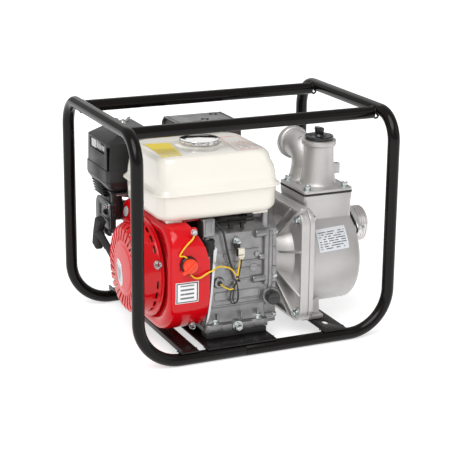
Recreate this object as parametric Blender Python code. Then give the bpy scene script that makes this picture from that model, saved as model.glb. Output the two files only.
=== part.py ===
# Engine-driven water pump in a tube frame, in metres.
# X runs along the crankshaft: recoil starter at -X, pump inlet at +X. Z is up, the rails rest on z = 0.
import math

import bmesh
import bpy
from mathutils import Matrix, Vector

# Gaps between pieces that touch, and how far a cutter runs past the face it opens.
clearance = 0.0003
overcut = 0.004
wall = 0.006

# Tube frame.
tube_radius = 0.01065
frame_length = 0.470
frame_width = 0.348
frame_height = 0.386
bottom_bend_radius = 0.075
top_bend_radius = 0.048
hoop_seam_x = -0.042
top_rail_inset = 0.057
top_rail_drop = 0.0055
tube_sides = 12

# Steel cross plates on the bottom rails: first and last x of each.
plate_thickness = 0.003
front_plate_span = (-0.161, -0.128)
engine_plate_span = (-0.112, 0.016)
pump_plate_span = (0.108, 0.152)
plate_lip_height = 0.009
plate_overlap = 0.006

# Crankshaft line and crankcase.
crank_y = -0.047
crank_above_base = 0.106
mount_height = 0.0091
case_back_x = -0.098
case_joint_x = 0.018
cover_depth = 0.022
cover_boss_radius = 0.040
cover_boss_height = 0.005
case_near_y = -0.122
case_far_y = 0.030
case_top_above_base = 0.188
foot_reach = 0.016
foot_height = 0.012
bolt_spacing_y = 0.162
bolt_xs = (-0.077, 0.0035)
bolt_hole_radius = 0.0045
journal_radius = 0.0125
bearing_radius = 0.026
bearing_width = 0.013

# Crankshaft nose: a stub, then a taper that carries the flywheel.
stub_start_x = -0.179
stub_radius = 0.006
taper_start_x = -0.158
taper_end_x = -0.116
taper_start_radius = 0.0085

# Cylinder, piston and rod, along a line tilted up towards +Y.
cylinder_tilt = math.radians(25)
cylinder_x = -0.030
bore_radius = 0.034
stroke = 0.045
rod_length = 0.084
deck_distance = 0.130
barrel_radius = 0.040
fin_radius = 0.047
fin_count = 6
piston_clearance = 0.0005
web_radius = 0.038
web_thickness = 0.0155
rod_width = 0.020
crank_gear_radius = 0.0175
gear_width = 0.009
gear_gap = 0.004
shaft_step = 0.007
cam_shaft_radius = 0.006
cam_lobe_xs = (-0.068, -0.048)
cam_lobe_radius = 0.011
cam_lobe_width = 0.008
shaft_end_gap = 0.001
skirt_below_pin = 0.021
crown_above_pin = 0.022
crown_thickness = 0.007
pin_radius = 0.0085
big_end_radius = 0.019
small_end_radius = 0.0135
beam_half_width = 0.007
beam_half_depth = 0.0075
skirt_length = 0.068
fin_stack = 0.050
fin_start = 0.052
fin_share = 0.45
chamber_depth = 0.008
cover_skin = 0.003
cover_slope_height = 0.006
plug_pocket_radius = 0.007
plug_thread_radius = 0.0062
plug_hex_radius = 0.0105
plug_tip_radius = 0.0045
plug_length = 0.028
cam_angle = math.radians(232)
head_depth = 0.035
head_half_height = 0.044
head_span = (-0.080, 0.017)
rocker_depth = 0.026
rocker_span = (-0.076, -0.010)

# Flywheel, fan shroud and recoil starter.
flywheel_radius = 0.078
flywheel_span = (-0.150, -0.118)
flywheel_rim = 0.012
flywheel_web = 0.009
flywheel_hub_radius = 0.026
cup_radius = 0.034
cup_base_radius = 0.032
cup_wall = 0.003
cup_depth = 0.021
cup_floor = 0.004
coil_gap = 0.0006
coil_height = 0.012
coil_half_width = 0.026
shroud_span = (-0.172, -0.1005)
shroud_near_y = -0.158
shroud_far_y = 0.040
shroud_bottom_above_base = 0.002
shroud_low_corner = 0.082
shroud_top_corner = 0.040
shroud_wall = 0.002
recoil_radius = 0.079
recoil_flange_radius = 0.087
recoil_front_x = -0.2155
recoil_edge = 0.012
reel_radius = 0.034
reel_span = (-0.2115, -0.1995)
pull_tilt = math.radians(19)
pull_travel = 0.45
grip_distance = 0.166
grip_length = 0.060
rope_radius = 0.002
rope_lap = 0.024
stem_radius = 0.0055
stem_length = 0.060
post_radius = 0.0082

# Engine switch on the near side of the shroud.
switch_centre = (-0.140, 0.1705)
switch_body_radius = 0.015
switch_body_depth = 0.006
knob_radius = 0.0125
knob_depth = 0.009
lead_radius = 0.0014
# The lead's points, from the switch's centre on the shroud's near face: along X, out from the shroud, up.
lead_route = (
    (0.0024, -0.0045, -0.0159),
    (0.0097, -0.0065, -0.0224),
    (0.0189, -0.0060, -0.0237),
    (0.0286, -0.0045, -0.0202),
    (0.0369, -0.0035, -0.0168),
    (0.0460, -0.0010, -0.0150),
    (0.0595, 0.0120, -0.0151),
    (0.0756, 0.0190, -0.0193),
    (0.0890, 0.0240, -0.0261),
    (0.1023, 0.0280, -0.0416),
)

# Fuel tank.
tank_x = (-0.181, 0.039)
tank_y = (-0.135, 0.036)
tank_bottom = 0.2365
tank_lip_z = 0.284
tank_top = 0.348
tank_lip = 0.008
tank_wall = 0.0015
tank_corner = 0.022
cap_centre = (-0.073, -0.047)
cap_radius = 0.036
cap_height = 0.009
filler_radius = 0.019

# Carburettor and air cleaner.
carb_centre = (0.092, 0.203)
carb_span = (-0.168, -0.0805)
carb_radius = 0.016
bowl_radius = 0.019
cleaner_x = (-0.205, -0.095)
cleaner_y = (0.056, 0.170)
cleaner_bottom = 0.226
cleaner_seam = 0.262
cleaner_edge_z = 0.333
cleaner_top = 0.3545
cleaner_wall = 0.0025
wing_nut_centre = (-0.157, 0.103)

# Muffler.
muffler_x = (-0.057, 0.052)
muffler_y = (0.054, 0.154)
muffler_z = (0.262, 0.349)
guard_gap = 0.003
guard_wall = 0.0015

# Pump.
adapter_core_radius = 0.052
flange_x = 0.083
flange_thickness = 0.0095
flange_y = (-0.147, 0.041)
flange_z = (0.030, 0.232)
flange_corner = 0.022
drum_centre = (-0.053, 0.128)
drum_radius = 0.088
drum_end_x = 0.200
casing_wall = 0.005
outlet_x = (0.104, 0.2005)
outlet_y = (-0.100, 0.000)
outlet_face_z = 0.2463
gasket_thickness = 0.0026
outlet_plate_thickness = 0.005
neck_centre = (0.155, -0.052)
neck_radius = 0.027
neck_rim_radius = 0.0305
neck_top = 0.336
port_bore_radius = 0.022
discharge_centre = (0.150, 0.311)
discharge_face_y = 0.046
discharge_radius = 0.026
discharge_ring_radius = 0.030
discharge_base_y = -0.012
suction_centre = (-0.050, 0.1715)
suction_face_x = 0.2452
suction_radius = 0.032
suction_boss_radius = 0.029
suction_bore_radius = 0.022
ear_reach = 0.045
impeller_gap = 0.013
impeller_span = (0.099, 0.116)
drain_shift_y = -0.002
drain_rise = 0.018
volute_wall = 0.004
volute_room = 0.007584
volute_span = (0.094, 0.122)
shaft_radius = 0.0095

base_z = 2 * tube_radius + plate_thickness + mount_height + 2 * clearance
crank_z = base_z + crank_above_base
plate_top = 2 * tube_radius + clearance + plate_thickness
cover_end_x = case_joint_x + cover_depth + clearance
cylinder_direction = Vector((0, math.cos(cylinder_tilt), math.sin(cylinder_tilt)))
pull_direction = Vector((0, math.cos(pull_tilt), math.sin(pull_tilt)))
crank_centre = (crank_y, crank_z)
drain_centre = (drum_centre[0] + drain_shift_y, drum_centre[1] - drum_radius + drain_rise)
drum_offset = math.hypot(crank_y - drum_centre[0], crank_z - drum_centre[1])
volute_radius = drum_radius - casing_wall - volute_wall - drum_offset - volute_room
impeller_radius = volute_radius - impeller_gap
cam_distance = 3 * crank_gear_radius + 2 * clearance
cam_centre = (crank_y + cam_distance * math.cos(cam_angle), crank_z + cam_distance * math.sin(cam_angle))


def clear_scene():
    for obj in list(bpy.data.objects):
        bpy.data.objects.remove(obj, do_unlink=True)


def paint(name, color, roughness, metallic):
    mat = bpy.data.materials.new(name)
    mat.use_nodes = True
    shader = mat.node_tree.nodes["Principled BSDF"]
    shader.inputs["Base Color"].default_value = (*color, 1)
    shader.inputs["Roughness"].default_value = roughness
    shader.inputs["Metallic"].default_value = metallic
    mat.diffuse_color = (*color, 1)
    return mat


def along(axis, u, v, t):
    """The point at distance t on the axis, u and v across it."""
    return {"x": (t, u, v), "y": (u, t, v), "z": (u, v, t)}[axis]


def from_bmesh(bm):
    bmesh.ops.recalc_face_normals(bm, faces=bm.faces)
    mesh = bpy.data.meshes.new("work")
    bm.to_mesh(mesh)
    bm.free()
    obj = bpy.data.objects.new("work", mesh)
    bpy.context.scene.collection.objects.link(obj)
    return obj


def rings(sections):
    """A closed solid through sections of equal point count, capped at both ends."""
    bm = bmesh.new()
    loops = [[bm.verts.new(p) for p in section] for section in sections]
    count = len(loops[0])
    for lower, upper in zip(loops, loops[1:]):
        for i in range(count):
            j = (i + 1) % count
            bm.faces.new((lower[i], lower[j], upper[j], upper[i]))
    bm.faces.new(loops[0])
    bm.faces.new(loops[-1])
    return from_bmesh(bm)


def prism(outline, axis, start, end):
    return rings([[along(axis, u, v, t) for u, v in outline] for t in (start, end)])


def box(lo, hi):
    corners = [(lo[0], lo[1]), (hi[0], lo[1]), (hi[0], hi[1]), (lo[0], hi[1])]
    return prism(corners, "z", lo[2], hi[2])


def rounded(us, vs, radius, steps=4, low_radius=None):
    """A rectangle with round corners. The lower two can have their own radius."""
    points = []
    low_radius = radius if low_radius is None else low_radius
    corners = [(us[1], vs[1], 0, radius), (us[0], vs[1], 90, radius)]
    corners += [(us[0], vs[0], 180, low_radius), (us[1], vs[0], 270, low_radius)]
    for u, v, first, radius in corners:
        cu = u - math.copysign(radius, u - sum(us) / 2)
        cv = v - math.copysign(radius, v - sum(vs) / 2)
        for k in range(steps + 1):
            a = math.radians(first + 90 * k / steps)
            points.append((cu + radius * math.cos(a), cv + radius * math.sin(a)))
    return points


def lathe(profile, axis, centre, sides=24, closed=False):
    """Turns (t, radius) points about the axis; points on the axis become one vertex."""
    bm = bmesh.new()
    loops = []
    for t, radius in profile:
        if radius == 0:
            loops.append([bm.verts.new(along(axis, *centre, t))])
            continue
        ring = []
        for k in range(sides):
            a = 2 * math.pi * (k + 0.5) / sides
            u = centre[0] + radius * math.cos(a)
            v = centre[1] + radius * math.sin(a)
            ring.append(bm.verts.new(along(axis, u, v, t)))
        loops.append(ring)
    pairs = list(zip(loops, loops[1:]))
    if closed:
        pairs.append((loops[-1], loops[0]))
    for lower, upper in pairs:
        for i in range(sides):
            j = (i + 1) % sides
            corners = [lower[i % len(lower)], lower[j % len(lower)], upper[j % len(upper)],
                       upper[i % len(upper)]]
            bm.faces.new(list(dict.fromkeys(corners)))
    return from_bmesh(bm)


def cylinder(axis, centre, radius, start, end, sides=24):
    return lathe([(start, 0), (start, radius), (end, radius), (end, 0)], axis, centre, sides)


def tube_ring(axis, centre, inner, outer, start, end, sides=24):
    return lathe([(start, inner), (start, outer), (end, outer), (end, inner)], axis, centre, sides,
                 closed=True)


def bent_path(corners, radii, steps=6):
    """A polyline with each inner corner rounded to its bend radius."""
    corners = [Vector(c) for c in corners]
    path = [corners[0]]
    for before, corner, after, radius in zip(corners, corners[1:], corners[2:], radii):
        back = (before - corner).normalized()
        ahead = (after - corner).normalized()
        reach = radius / math.tan(back.angle(ahead) / 2)
        centre = corner + (back + ahead).normalized() * radius / math.sin(back.angle(ahead) / 2)
        first = corner + back * reach - centre
        last = corner + ahead * reach - centre
        sweep_angle = first.angle(last)
        turn = first.cross(last).normalized()
        for k in range(steps + 1):
            path.append(centre + Matrix.Rotation(sweep_angle * k / steps, 3, turn) @ first)
    path.append(corners[-1])
    return path


def sweep(path, radius, sides, normal=(0, 0, 1)):
    """A round bar along the path, with a flat facet at distance radius on the side of the first normal."""
    path = [Vector(p) for p in path]
    normal = Vector(normal)
    corner_radius = radius / math.cos(math.pi / sides)
    tangents = [(b - a).normalized() for a, b in zip(path, path[1:])]
    sections = []
    for i, point in enumerate(path):
        before = tangents[max(i - 1, 0)]
        after = tangents[min(i, len(tangents) - 1)]
        tangent = (before + after).normalized()
        normal = (normal - tangent * normal.dot(tangent)).normalized()
        side = tangent.cross(normal)
        ring = []
        for k in range(sides):
            a = 2 * math.pi * (k + 0.5) / sides
            ring.append(point + corner_radius * (math.cos(a) * normal + math.sin(a) * side))
        sections.append(ring)
    return rings(sections)


def combine(target, others, operation):
    for other in others:
        modifier = target.modifiers.new("step", "BOOLEAN")
        modifier.operation = operation
        modifier.solver = "EXACT"
        modifier.object = other
        graph = bpy.context.evaluated_depsgraph_get()
        mesh = bpy.data.meshes.new_from_object(target.evaluated_get(graph))
        target.modifiers.clear()
        target.data = mesh
        bpy.data.objects.remove(other, do_unlink=True)
    return target


def fuse(target, *others):
    return combine(target, others, "UNION")


def cut(target, *others):
    return combine(target, others, "DIFFERENCE")


def moved(obj, matrix):
    obj.data.transform(matrix)
    return obj


def on_cylinder(obj):
    """Lays an object modelled along Z onto the tilted cylinder line."""
    turn = Matrix.Rotation(cylinder_tilt - math.pi / 2, 4, "X")
    return moved(obj, Matrix.Translation((cylinder_x, crank_y, crank_z)) @ turn)


def node(name, obj, mat, pivot=None):
    """Names the finished piece, gives it its material and puts its origin on its joint's axis."""
    obj.name = name
    obj.data.name = name
    obj.data.materials.clear()
    obj.data.materials.append(mat)
    for face in obj.data.polygons:
        face.use_smooth = True
        face.material_index = 0
    obj.data.set_sharp_from_angle(angle=math.radians(32))
    if pivot is not None:
        moved(obj, Matrix.Translation(-Vector(pivot)))
        obj.location = pivot
    return obj


def build_frame(black):
    top_z = tube_radius + frame_height
    half = frame_width / 2
    for name, side in (("end_hoop_engine", -1), ("end_hoop_pump", 1)):
        end_x = side * frame_length / 2
        seam_x = hoop_seam_x + side * clearance / 2
        corners = [
            (seam_x, -half, tube_radius),
            (end_x, -half, tube_radius),
            (end_x, -half, top_z),
            (end_x, half, top_z),
            (end_x, half, tube_radius),
            (seam_x, half, tube_radius),
        ]
        radii = (bottom_bend_radius, top_bend_radius, top_bend_radius, bottom_bend_radius)
        node(name, sweep(bent_path(corners, radii), tube_radius, tube_sides), black)
    rail_end = frame_length / 2 - tube_radius / math.cos(math.pi / tube_sides) - clearance
    rail_z = top_z - top_rail_drop
    for name, side in (("top_rail_near", -1), ("top_rail_far", 1)):
        y = side * (half - top_rail_inset)
        node(name, sweep([(-rail_end, y, rail_z), (rail_end, y, rail_z)], tube_radius, tube_sides), black)


def build_plates(black):
    low = 2 * tube_radius + clearance
    reach = frame_width / 2 + plate_overlap
    front = box((front_plate_span[0], -reach, low), (front_plate_span[1], reach, plate_top))
    lip_x = front_plate_span[0] + plate_thickness
    lip = box((front_plate_span[0], -reach, low + plate_thickness / 2),
              (lip_x, reach, low + plate_lip_height))
    node("front_cross_plate", fuse(front, lip), black)
    engine = box((engine_plate_span[0], -reach, low), (engine_plate_span[1], reach, plate_top))
    for x in bolt_xs:
        for side in (-1, 1):
            centre = (x, crank_y + side * bolt_spacing_y / 2)
            cut(engine, cylinder("z", centre, bolt_hole_radius, low - overcut, plate_top + overcut, 12))
    node("engine_cross_plate", engine, black)
    pump = box((pump_plate_span[0], -reach, low), (pump_plate_span[1], reach, plate_top))
    middle = sum(pump_plate_span) / 2
    for side in (-1, 1):
        y = side * (frame_width / 2 - 0.034)
        slot = prism(rounded((middle - 0.005, middle + 0.005), (y - 0.009, y + 0.009), 0.0045, 3), "z",
                     low - overcut, plate_top + overcut)
        cut(pump, slot)
    node("pump_cross_plate", pump, black)


def build_mounts(rubber):
    """Rubber strips between the engine's feet and its plate."""
    for name, side in (("engine_mount_near", -1), ("engine_mount_far", 1)):
        y = crank_y + side * bolt_spacing_y / 2
        strip = box((engine_plate_span[0] + 0.014, y - 0.012, plate_top + clearance),
                    (case_joint_x - 0.003, y + 0.012, base_z - clearance))
        for x in bolt_xs:
            hole = cylinder("z", (x, y), bolt_hole_radius, plate_top - overcut, base_z + overcut, 12)
            cut(strip, hole)
        node(name, strip, rubber)


def case_outline(inset=0.0, feet=True):
    """Crankcase section in y and z, with or without its feet."""
    top = base_z + case_top_above_base - inset
    low = base_z + inset
    near = case_near_y + inset
    far = case_far_y - inset
    body = [(near, top - 0.018), (near + 0.018, top), (far - 0.032, top), (far, top - 0.024)]
    if not feet:
        return [(near, low)] + body + [(far, low)]
    foot = base_z + foot_height
    near_foot = [(near - foot_reach, low), (near - foot_reach, foot), (near, foot + 0.006)]
    far_foot = [(far, foot + 0.006), (far + foot_reach, foot), (far + foot_reach, low)]
    return near_foot + body + far_foot


def build_crankcase(alloy):
    case = prism(case_outline(), "x", case_back_x, case_joint_x)
    cut(case, prism(case_outline(wall, feet=False), "x", case_back_x + wall, case_joint_x + overcut))
    profile = [(deck_distance - skirt_length, 0), (deck_distance - skirt_length, barrel_radius)]
    pitch = fin_stack / fin_count
    for k in range(fin_count):
        start = deck_distance - fin_start + k * pitch
        profile += [(start, barrel_radius), (start, fin_radius)]
        profile += [(start + pitch * fin_share, fin_radius), (start + pitch * fin_share, barrel_radius)]
    profile += [(deck_distance, barrel_radius), (deck_distance, 0)]
    fuse(case, on_cylinder(lathe(profile, "z", (0, 0), 24)))
    hub_end = case_back_x + wall + bearing_width
    fuse(case, cylinder("x", crank_centre, bearing_radius + wall, case_back_x + wall / 2, hub_end))
    bore = on_cylinder(cylinder("z", (0, 0), bore_radius, deck_distance - 0.09, deck_distance + overcut))
    seat = cylinder("x", crank_centre, bearing_radius + clearance, case_back_x + wall + clearance,
                    hub_end + overcut)
    shaft_hole = cylinder("x", crank_centre, journal_radius + clearance, case_back_x - overcut,
                          case_back_x + wall * 2)
    cut(case, bore, seat, shaft_hole)
    for x in bolt_xs:
        for side in (-1, 1):
            centre = (x, crank_y + side * bolt_spacing_y / 2)
            cut(case, cylinder("z", centre, bolt_hole_radius, base_z - overcut, base_z + 0.03, 12))
    node("crankcase", case, alloy)


def build_side_cover(alloy):
    start = case_joint_x + clearance
    cover = prism(case_outline(feet=False), "x", start, cover_end_x)
    cut(cover, prism(case_outline(wall, feet=False), "x", start - overcut, cover_end_x - wall))
    fuse(cover, cylinder("x", crank_centre, bearing_radius + wall, start, cover_end_x - wall / 2))
    fuse(cover, cylinder("x", crank_centre, cover_boss_radius, cover_end_x - wall / 2,
                         cover_end_x + cover_boss_height))
    seat_end = start + bearing_width + 2 * clearance
    seat_radius = bearing_radius + clearance
    hole_radius = journal_radius + clearance
    hole_end = cover_end_x + cover_boss_height + overcut
    profile = [(start - overcut, 0), (start - overcut, seat_radius), (seat_end, seat_radius),
               (seat_end, hole_radius),
               (hole_end, hole_radius), (hole_end, 0)]
    cut(cover, lathe(profile, "x", crank_centre))
    node("crankcase_side_cover", cover, alloy)


def build_bearings(steel):
    back = case_back_x + wall + 2 * clearance
    front = case_joint_x + 2 * clearance
    for name, start in (("main_bearing_flywheel_side", back), ("main_bearing_pump_side", front)):
        ring = tube_ring("x", crank_centre, journal_radius + clearance, bearing_radius, start,
                         start + bearing_width)
        node(name, ring, steel)


def build_crank(steel):
    """Two shaft halves with round webs. The crankpin between them is part of the rod."""
    half_gap = rod_width / 2 + clearance
    left = cylinder_x - half_gap
    right = cylinder_x + half_gap
    flywheel_half = [
        (stub_start_x, 0),
        (stub_start_x, stub_radius),
        (taper_start_x, stub_radius),
        (taper_start_x, taper_start_radius),
        (taper_end_x, journal_radius),
        (left - web_thickness, journal_radius),
        (left - web_thickness, web_radius),
        (left, web_radius),
        (left, 0),
    ]
    gear_x = right + web_thickness + gear_gap
    pump_half = [
        (right, 0),
        (right, web_radius),
        (right + web_thickness, web_radius),
        (right + web_thickness, journal_radius),
        (gear_x, journal_radius),
        (gear_x, crank_gear_radius),
        (gear_x + gear_width, crank_gear_radius),
        (gear_x + gear_width, journal_radius),
        (cover_end_x + shaft_step, journal_radius),
        (cover_end_x + shaft_step, shaft_radius),
        (impeller_span[1] - gear_gap, shaft_radius),
        (impeller_span[1] - gear_gap, 0),
    ]
    pivot = (cylinder_x, *crank_centre)
    node("crankshaft_flywheel_half", lathe(flywheel_half, "x", crank_centre), steel, pivot)
    node("crankshaft_pump_half", lathe(pump_half, "x", crank_centre), steel, pivot)


def build_camshaft(steel):
    gear_x = cylinder_x + rod_width / 2 + clearance + web_thickness + gear_gap
    start_x = case_back_x + wall + shaft_end_gap
    end_x = cover_end_x - wall - shaft_end_gap
    profile = [(start_x, 0), (start_x, cam_shaft_radius)]
    for start in cam_lobe_xs:
        profile += [(start, cam_shaft_radius), (start, cam_lobe_radius)]
        profile += [(start + cam_lobe_width, cam_lobe_radius), (start + cam_lobe_width, cam_shaft_radius)]
    profile += [(gear_x, cam_shaft_radius), (gear_x, 2 * crank_gear_radius)]
    profile += [(gear_x + gear_width, 2 * crank_gear_radius), (gear_x + gear_width, cam_shaft_radius)]
    profile += [(end_x, cam_shaft_radius), (end_x, 0)]
    shaft = lathe(profile, "x", cam_centre)
    node("camshaft", shaft, steel, (gear_x, *cam_centre))


def build_piston(alloy, steel):
    pin = stroke / 2 + rod_length
    radius = bore_radius - piston_clearance
    skirt = pin - skirt_below_pin
    crown = pin + crown_above_pin
    piston = on_cylinder(cylinder("z", (0, 0), radius, skirt, crown))
    cut(piston, on_cylinder(cylinder("z", (0, 0), radius - wall, skirt - overcut, crown - crown_thickness)))
    fuse(piston, on_cylinder(cylinder("x", (0, pin), pin_radius, -radius + 0.002, radius - 0.002, 16)))
    pivot = Vector((cylinder_x, *crank_centre)) + cylinder_direction * pin
    node("piston", piston, alloy, pivot)
    half = rod_width / 2
    rod = cylinder("x", (0, stroke / 2), big_end_radius, -half, half)
    fuse(rod, box((-beam_half_width, -beam_half_depth, stroke / 2), (beam_half_width, beam_half_depth, pin)))
    fuse(rod, cylinder("x", (0, pin), small_end_radius, -half + 0.001, half - 0.001))
    cut(rod, cylinder("x", (0, pin), pin_radius + clearance, -half - overcut, half + overcut))
    node("connecting_rod", on_cylinder(rod), steel, pivot)


def build_head(alloy, black, white):
    near, far = (x - cylinder_x for x in head_span)
    start = deck_distance + clearance
    end = start + head_depth
    head = prism(rounded((near, far), (-head_half_height, head_half_height), 0.008, 2), "z", start, end)
    cut(head, cylinder("z", (0, 0), bore_radius - 0.004, start - overcut, start + chamber_depth))
    plug_x = (far + rocker_span[1] - cylinder_x) / 2 + 0.001
    cut(head, cylinder("z", (plug_x, 0), plug_pocket_radius, start + 0.012, end + overcut, 12))
    node("cylinder_head", on_cylinder(head), alloy)
    near, far = (x - cylinder_x for x in rocker_span)
    start = end + clearance
    end = start + rocker_depth
    half = head_half_height - 0.008
    outline = rounded((near, far), (-half, half), 0.012, 3)
    cover = rings([[(u, v, start) for u, v in outline], [(u, v, end - cover_slope_height) for u,
                                                         v in outline],
                   [(u * 0.86, v * 0.90, end) for u, v in outline]])
    inner = rounded((near + cover_skin, far - cover_skin), (cover_skin - half, half - cover_skin), 0.010, 3)
    cut(cover, prism(inner, "z", start - overcut, end - cover_slope_height - 0.001))
    node("rocker_cover", on_cylinder(cover), black)
    seat = deck_distance + 0.014
    plug = [
        (seat, 0),
        (seat, plug_thread_radius),
        (start, plug_thread_radius),
        (start, plug_hex_radius),
        (start + 0.006, plug_hex_radius),
        (start + 0.006, plug_tip_radius + 0.001),
        (start + plug_length, plug_tip_radius),
        (start + plug_length, 0),
    ]
    node("spark_plug", on_cylinder(lathe(plug, "z", (plug_x, 0), 12)), white)


def taper_bore(x):
    """The bore that clears the shaft's taper at x."""
    share = (x - taper_start_x) / (taper_end_x - taper_start_x)
    return taper_start_radius + share * (journal_radius - taper_start_radius) + clearance


def build_flywheel(grey, steel):
    first, last = flywheel_span
    rim = flywheel_radius
    web_x = first + flywheel_web
    profile = [
        (first, taper_bore(first)),
        (first, rim),
        (last, rim),
        (last, rim - flywheel_rim),
        (web_x, rim - flywheel_rim - gear_gap),
        (web_x, flywheel_hub_radius),
        (last, flywheel_hub_radius),
        (last, taper_bore(last)),
    ]
    wheel = lathe(profile, "x", crank_centre, 32, closed=True)
    pivot = (first, *crank_centre)
    node("flywheel", wheel, grey, pivot)
    cup_start = first - cup_depth
    cup = [
        (first - clearance, taper_bore(first)),
        (first - clearance, cup_base_radius),
        (cup_start, cup_radius),
        (cup_start, cup_radius - cup_wall),
        (first - cup_floor, cup_base_radius - cup_wall),
        (first - cup_floor, taper_bore(first)),
    ]
    node("starter_cup", lathe(cup, "x", crank_centre, 24, closed=True), steel, pivot)


def shroud_outline(inset=0.0):
    low = base_z + shroud_bottom_above_base + inset
    top = tank_bottom - 0.002 - inset
    ys = (shroud_near_y + inset, shroud_far_y - inset)
    return rounded(ys, (low, top), shroud_top_corner - inset, 8, shroud_low_corner - inset)


def build_shroud(red, black):
    front, back = shroud_span
    shroud = prism(shroud_outline(), "x", front, back)
    cut(shroud, prism(shroud_outline(shroud_wall), "x", front + shroud_wall, back + overcut))
    cut(shroud, cylinder("x", crank_centre, recoil_radius - 0.003, front - overcut, front + overcut, 32))
    node("fan_shroud", shroud, red)
    low = crank_z + flywheel_radius + coil_gap
    coil = box((flywheel_span[0] + 0.004, crank_y - coil_half_width, low),
               (flywheel_span[1] - 0.004, crank_y + coil_half_width, low + coil_height))
    node("ignition_coil", coil, black)


def build_recoil(red, black, white):
    front = recoil_front_x
    back = shroud_span[0] - clearance
    skin = shroud_wall
    profile = [
        (front, 0), (front, recoil_radius - recoil_edge), (front + recoil_edge * 0.3,
                                                           recoil_radius - recoil_edge * 0.3),
        (front + recoil_edge, recoil_radius), (back - skin, recoil_radius), (back - skin,
                                                                             recoil_flange_radius),
        (back, recoil_flange_radius), (back, recoil_radius - skin), (front + recoil_edge,
                                                                     recoil_radius - skin),
        (front + skin, recoil_radius - recoil_edge - skin), (front + skin, 0.012), (reel_span[0] - 0.001,
                                                                                    0.012),
        (reel_span[0] - 0.001, post_radius), (reel_span[1] + 0.002, post_radius), (reel_span[1] + 0.002, 0),
    ]
    housing = lathe(profile, "x", crank_centre, 32)
    start = grip_centre() - pull_direction * (grip_distance - rope_lap)
    end = grip_centre() - pull_direction * 0.045
    cut(housing, sweep([start, end], stem_radius + 0.0015, 12, (1, 0, 0)))
    node("recoil_housing", housing, red)
    first, last = reel_span
    bore = post_radius + clearance
    reel = [(first, bore), (first, reel_radius + 0.004), (first + 0.002, reel_radius + 0.004),
            (first + 0.002, reel_radius - 0.006), (last - 0.002, reel_radius - 0.006), (last - 0.002,
                                                                                        reel_radius + 0.004),
            (last, reel_radius + 0.004), (last, bore)]
    node("starter_reel", lathe(reel, "x", crank_centre, 24, closed=True), black, (first, *crank_centre))
    centre = grip_centre()
    across = Vector((0, -math.sin(pull_tilt), math.cos(pull_tilt)))
    sections = []
    steps = 6
    for k in range(steps + 1):
        f = 2 * k / steps - 1
        bow = 0.006 * (1 - f * f)
        point = centre + across * f * grip_length / 2 + pull_direction * bow
        thick = 0.0105 - 0.0025 * abs(f)
        ring = [point + Vector((u, 0, 0)) + pull_direction * v for u,
                v in rounded((-0.009, 0.009), (-thick, thick), 0.005, 2)]
        sections.append(ring)
    grip = rings(sections)
    fuse(grip, sweep([centre, centre - pull_direction * stem_length], stem_radius, 12, (1, 0, 0)))
    node("starter_handle", grip, black, centre)
    rope_start = centre - pull_direction * (stem_length + clearance)
    rope_end = centre - pull_direction * (grip_distance - rope_lap)
    node("starter_rope", sweep([rope_start, rope_end], rope_radius, 8, (1, 0, 0)), white, centre)


def grip_centre():
    """The rope leaves the reel's lower side along the pull line, and the grip sits at its end."""
    down = Vector((0, math.sin(pull_tilt), -math.cos(pull_tilt)))
    start = Vector((sum(reel_span) / 2, crank_y, crank_z)) + down * reel_radius
    return start + pull_direction * grip_distance


def build_tank(cream, chrome, grey):
    def section(z, inset, extra_right=0.0):
        us = (tank_x[0] + inset, tank_x[1] - inset - extra_right)
        vs = (tank_y[0] + inset, tank_y[1] - inset)
        return [(u, v, z) for u, v in rounded(us, vs, tank_corner, 4)]

    lip = 0.003
    outer = rings([
        section(tank_bottom, 0.010), section(tank_bottom + 0.006, 0.004), section(tank_lip_z - lip, 0.0),
        section(tank_lip_z - lip, -tank_lip), section(tank_lip_z + lip,
                                                      -tank_lip), section(tank_lip_z + lip, 0.0),
        section(tank_top - 0.022, 0.004, 0.003), section(tank_top - 0.008, 0.009, 0.010), section(tank_top,
        0.020, 0.018),
    ])
    w = tank_wall
    inner = rings([
        section(tank_bottom + w, 0.011), section(tank_bottom + 0.007, 0.004 + w), section(tank_lip_z, w),
        section(tank_top - 0.022, 0.004 + w, 0.003), section(tank_top - 0.009, 0.010 + w,
                                                             0.010), section(tank_top - w, 0.022, 0.018),
    ])
    cut(outer, inner)
    cut(outer, cylinder("z", cap_centre, filler_radius, tank_top - 0.02, tank_top + overcut, 20))
    node("fuel_tank", outer, cream)
    seat = tank_top + clearance
    cap = [(seat - 0.012, 0), (seat - 0.012, filler_radius - 0.0015), (seat, filler_radius - 0.0015),
           (seat, cap_radius),
           (seat + cap_height - 0.002, cap_radius), (seat + cap_height,
                                                     cap_radius - 0.002), (seat + cap_height, 0)]
    node("fuel_cap", lathe(cap, "z", cap_centre, 32), chrome, (*cap_centre, seat))
    low = base_z + case_top_above_base + clearance
    bracket = box((-0.088, case_near_y + 0.022, low), (0.006, case_far_y - 0.036, tank_bottom - clearance))
    cut(bracket, box((-0.076, case_near_y, low + 0.002), (-0.006, case_far_y, tank_bottom + overcut)))
    node("tank_bracket", bracket, grey)


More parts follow.
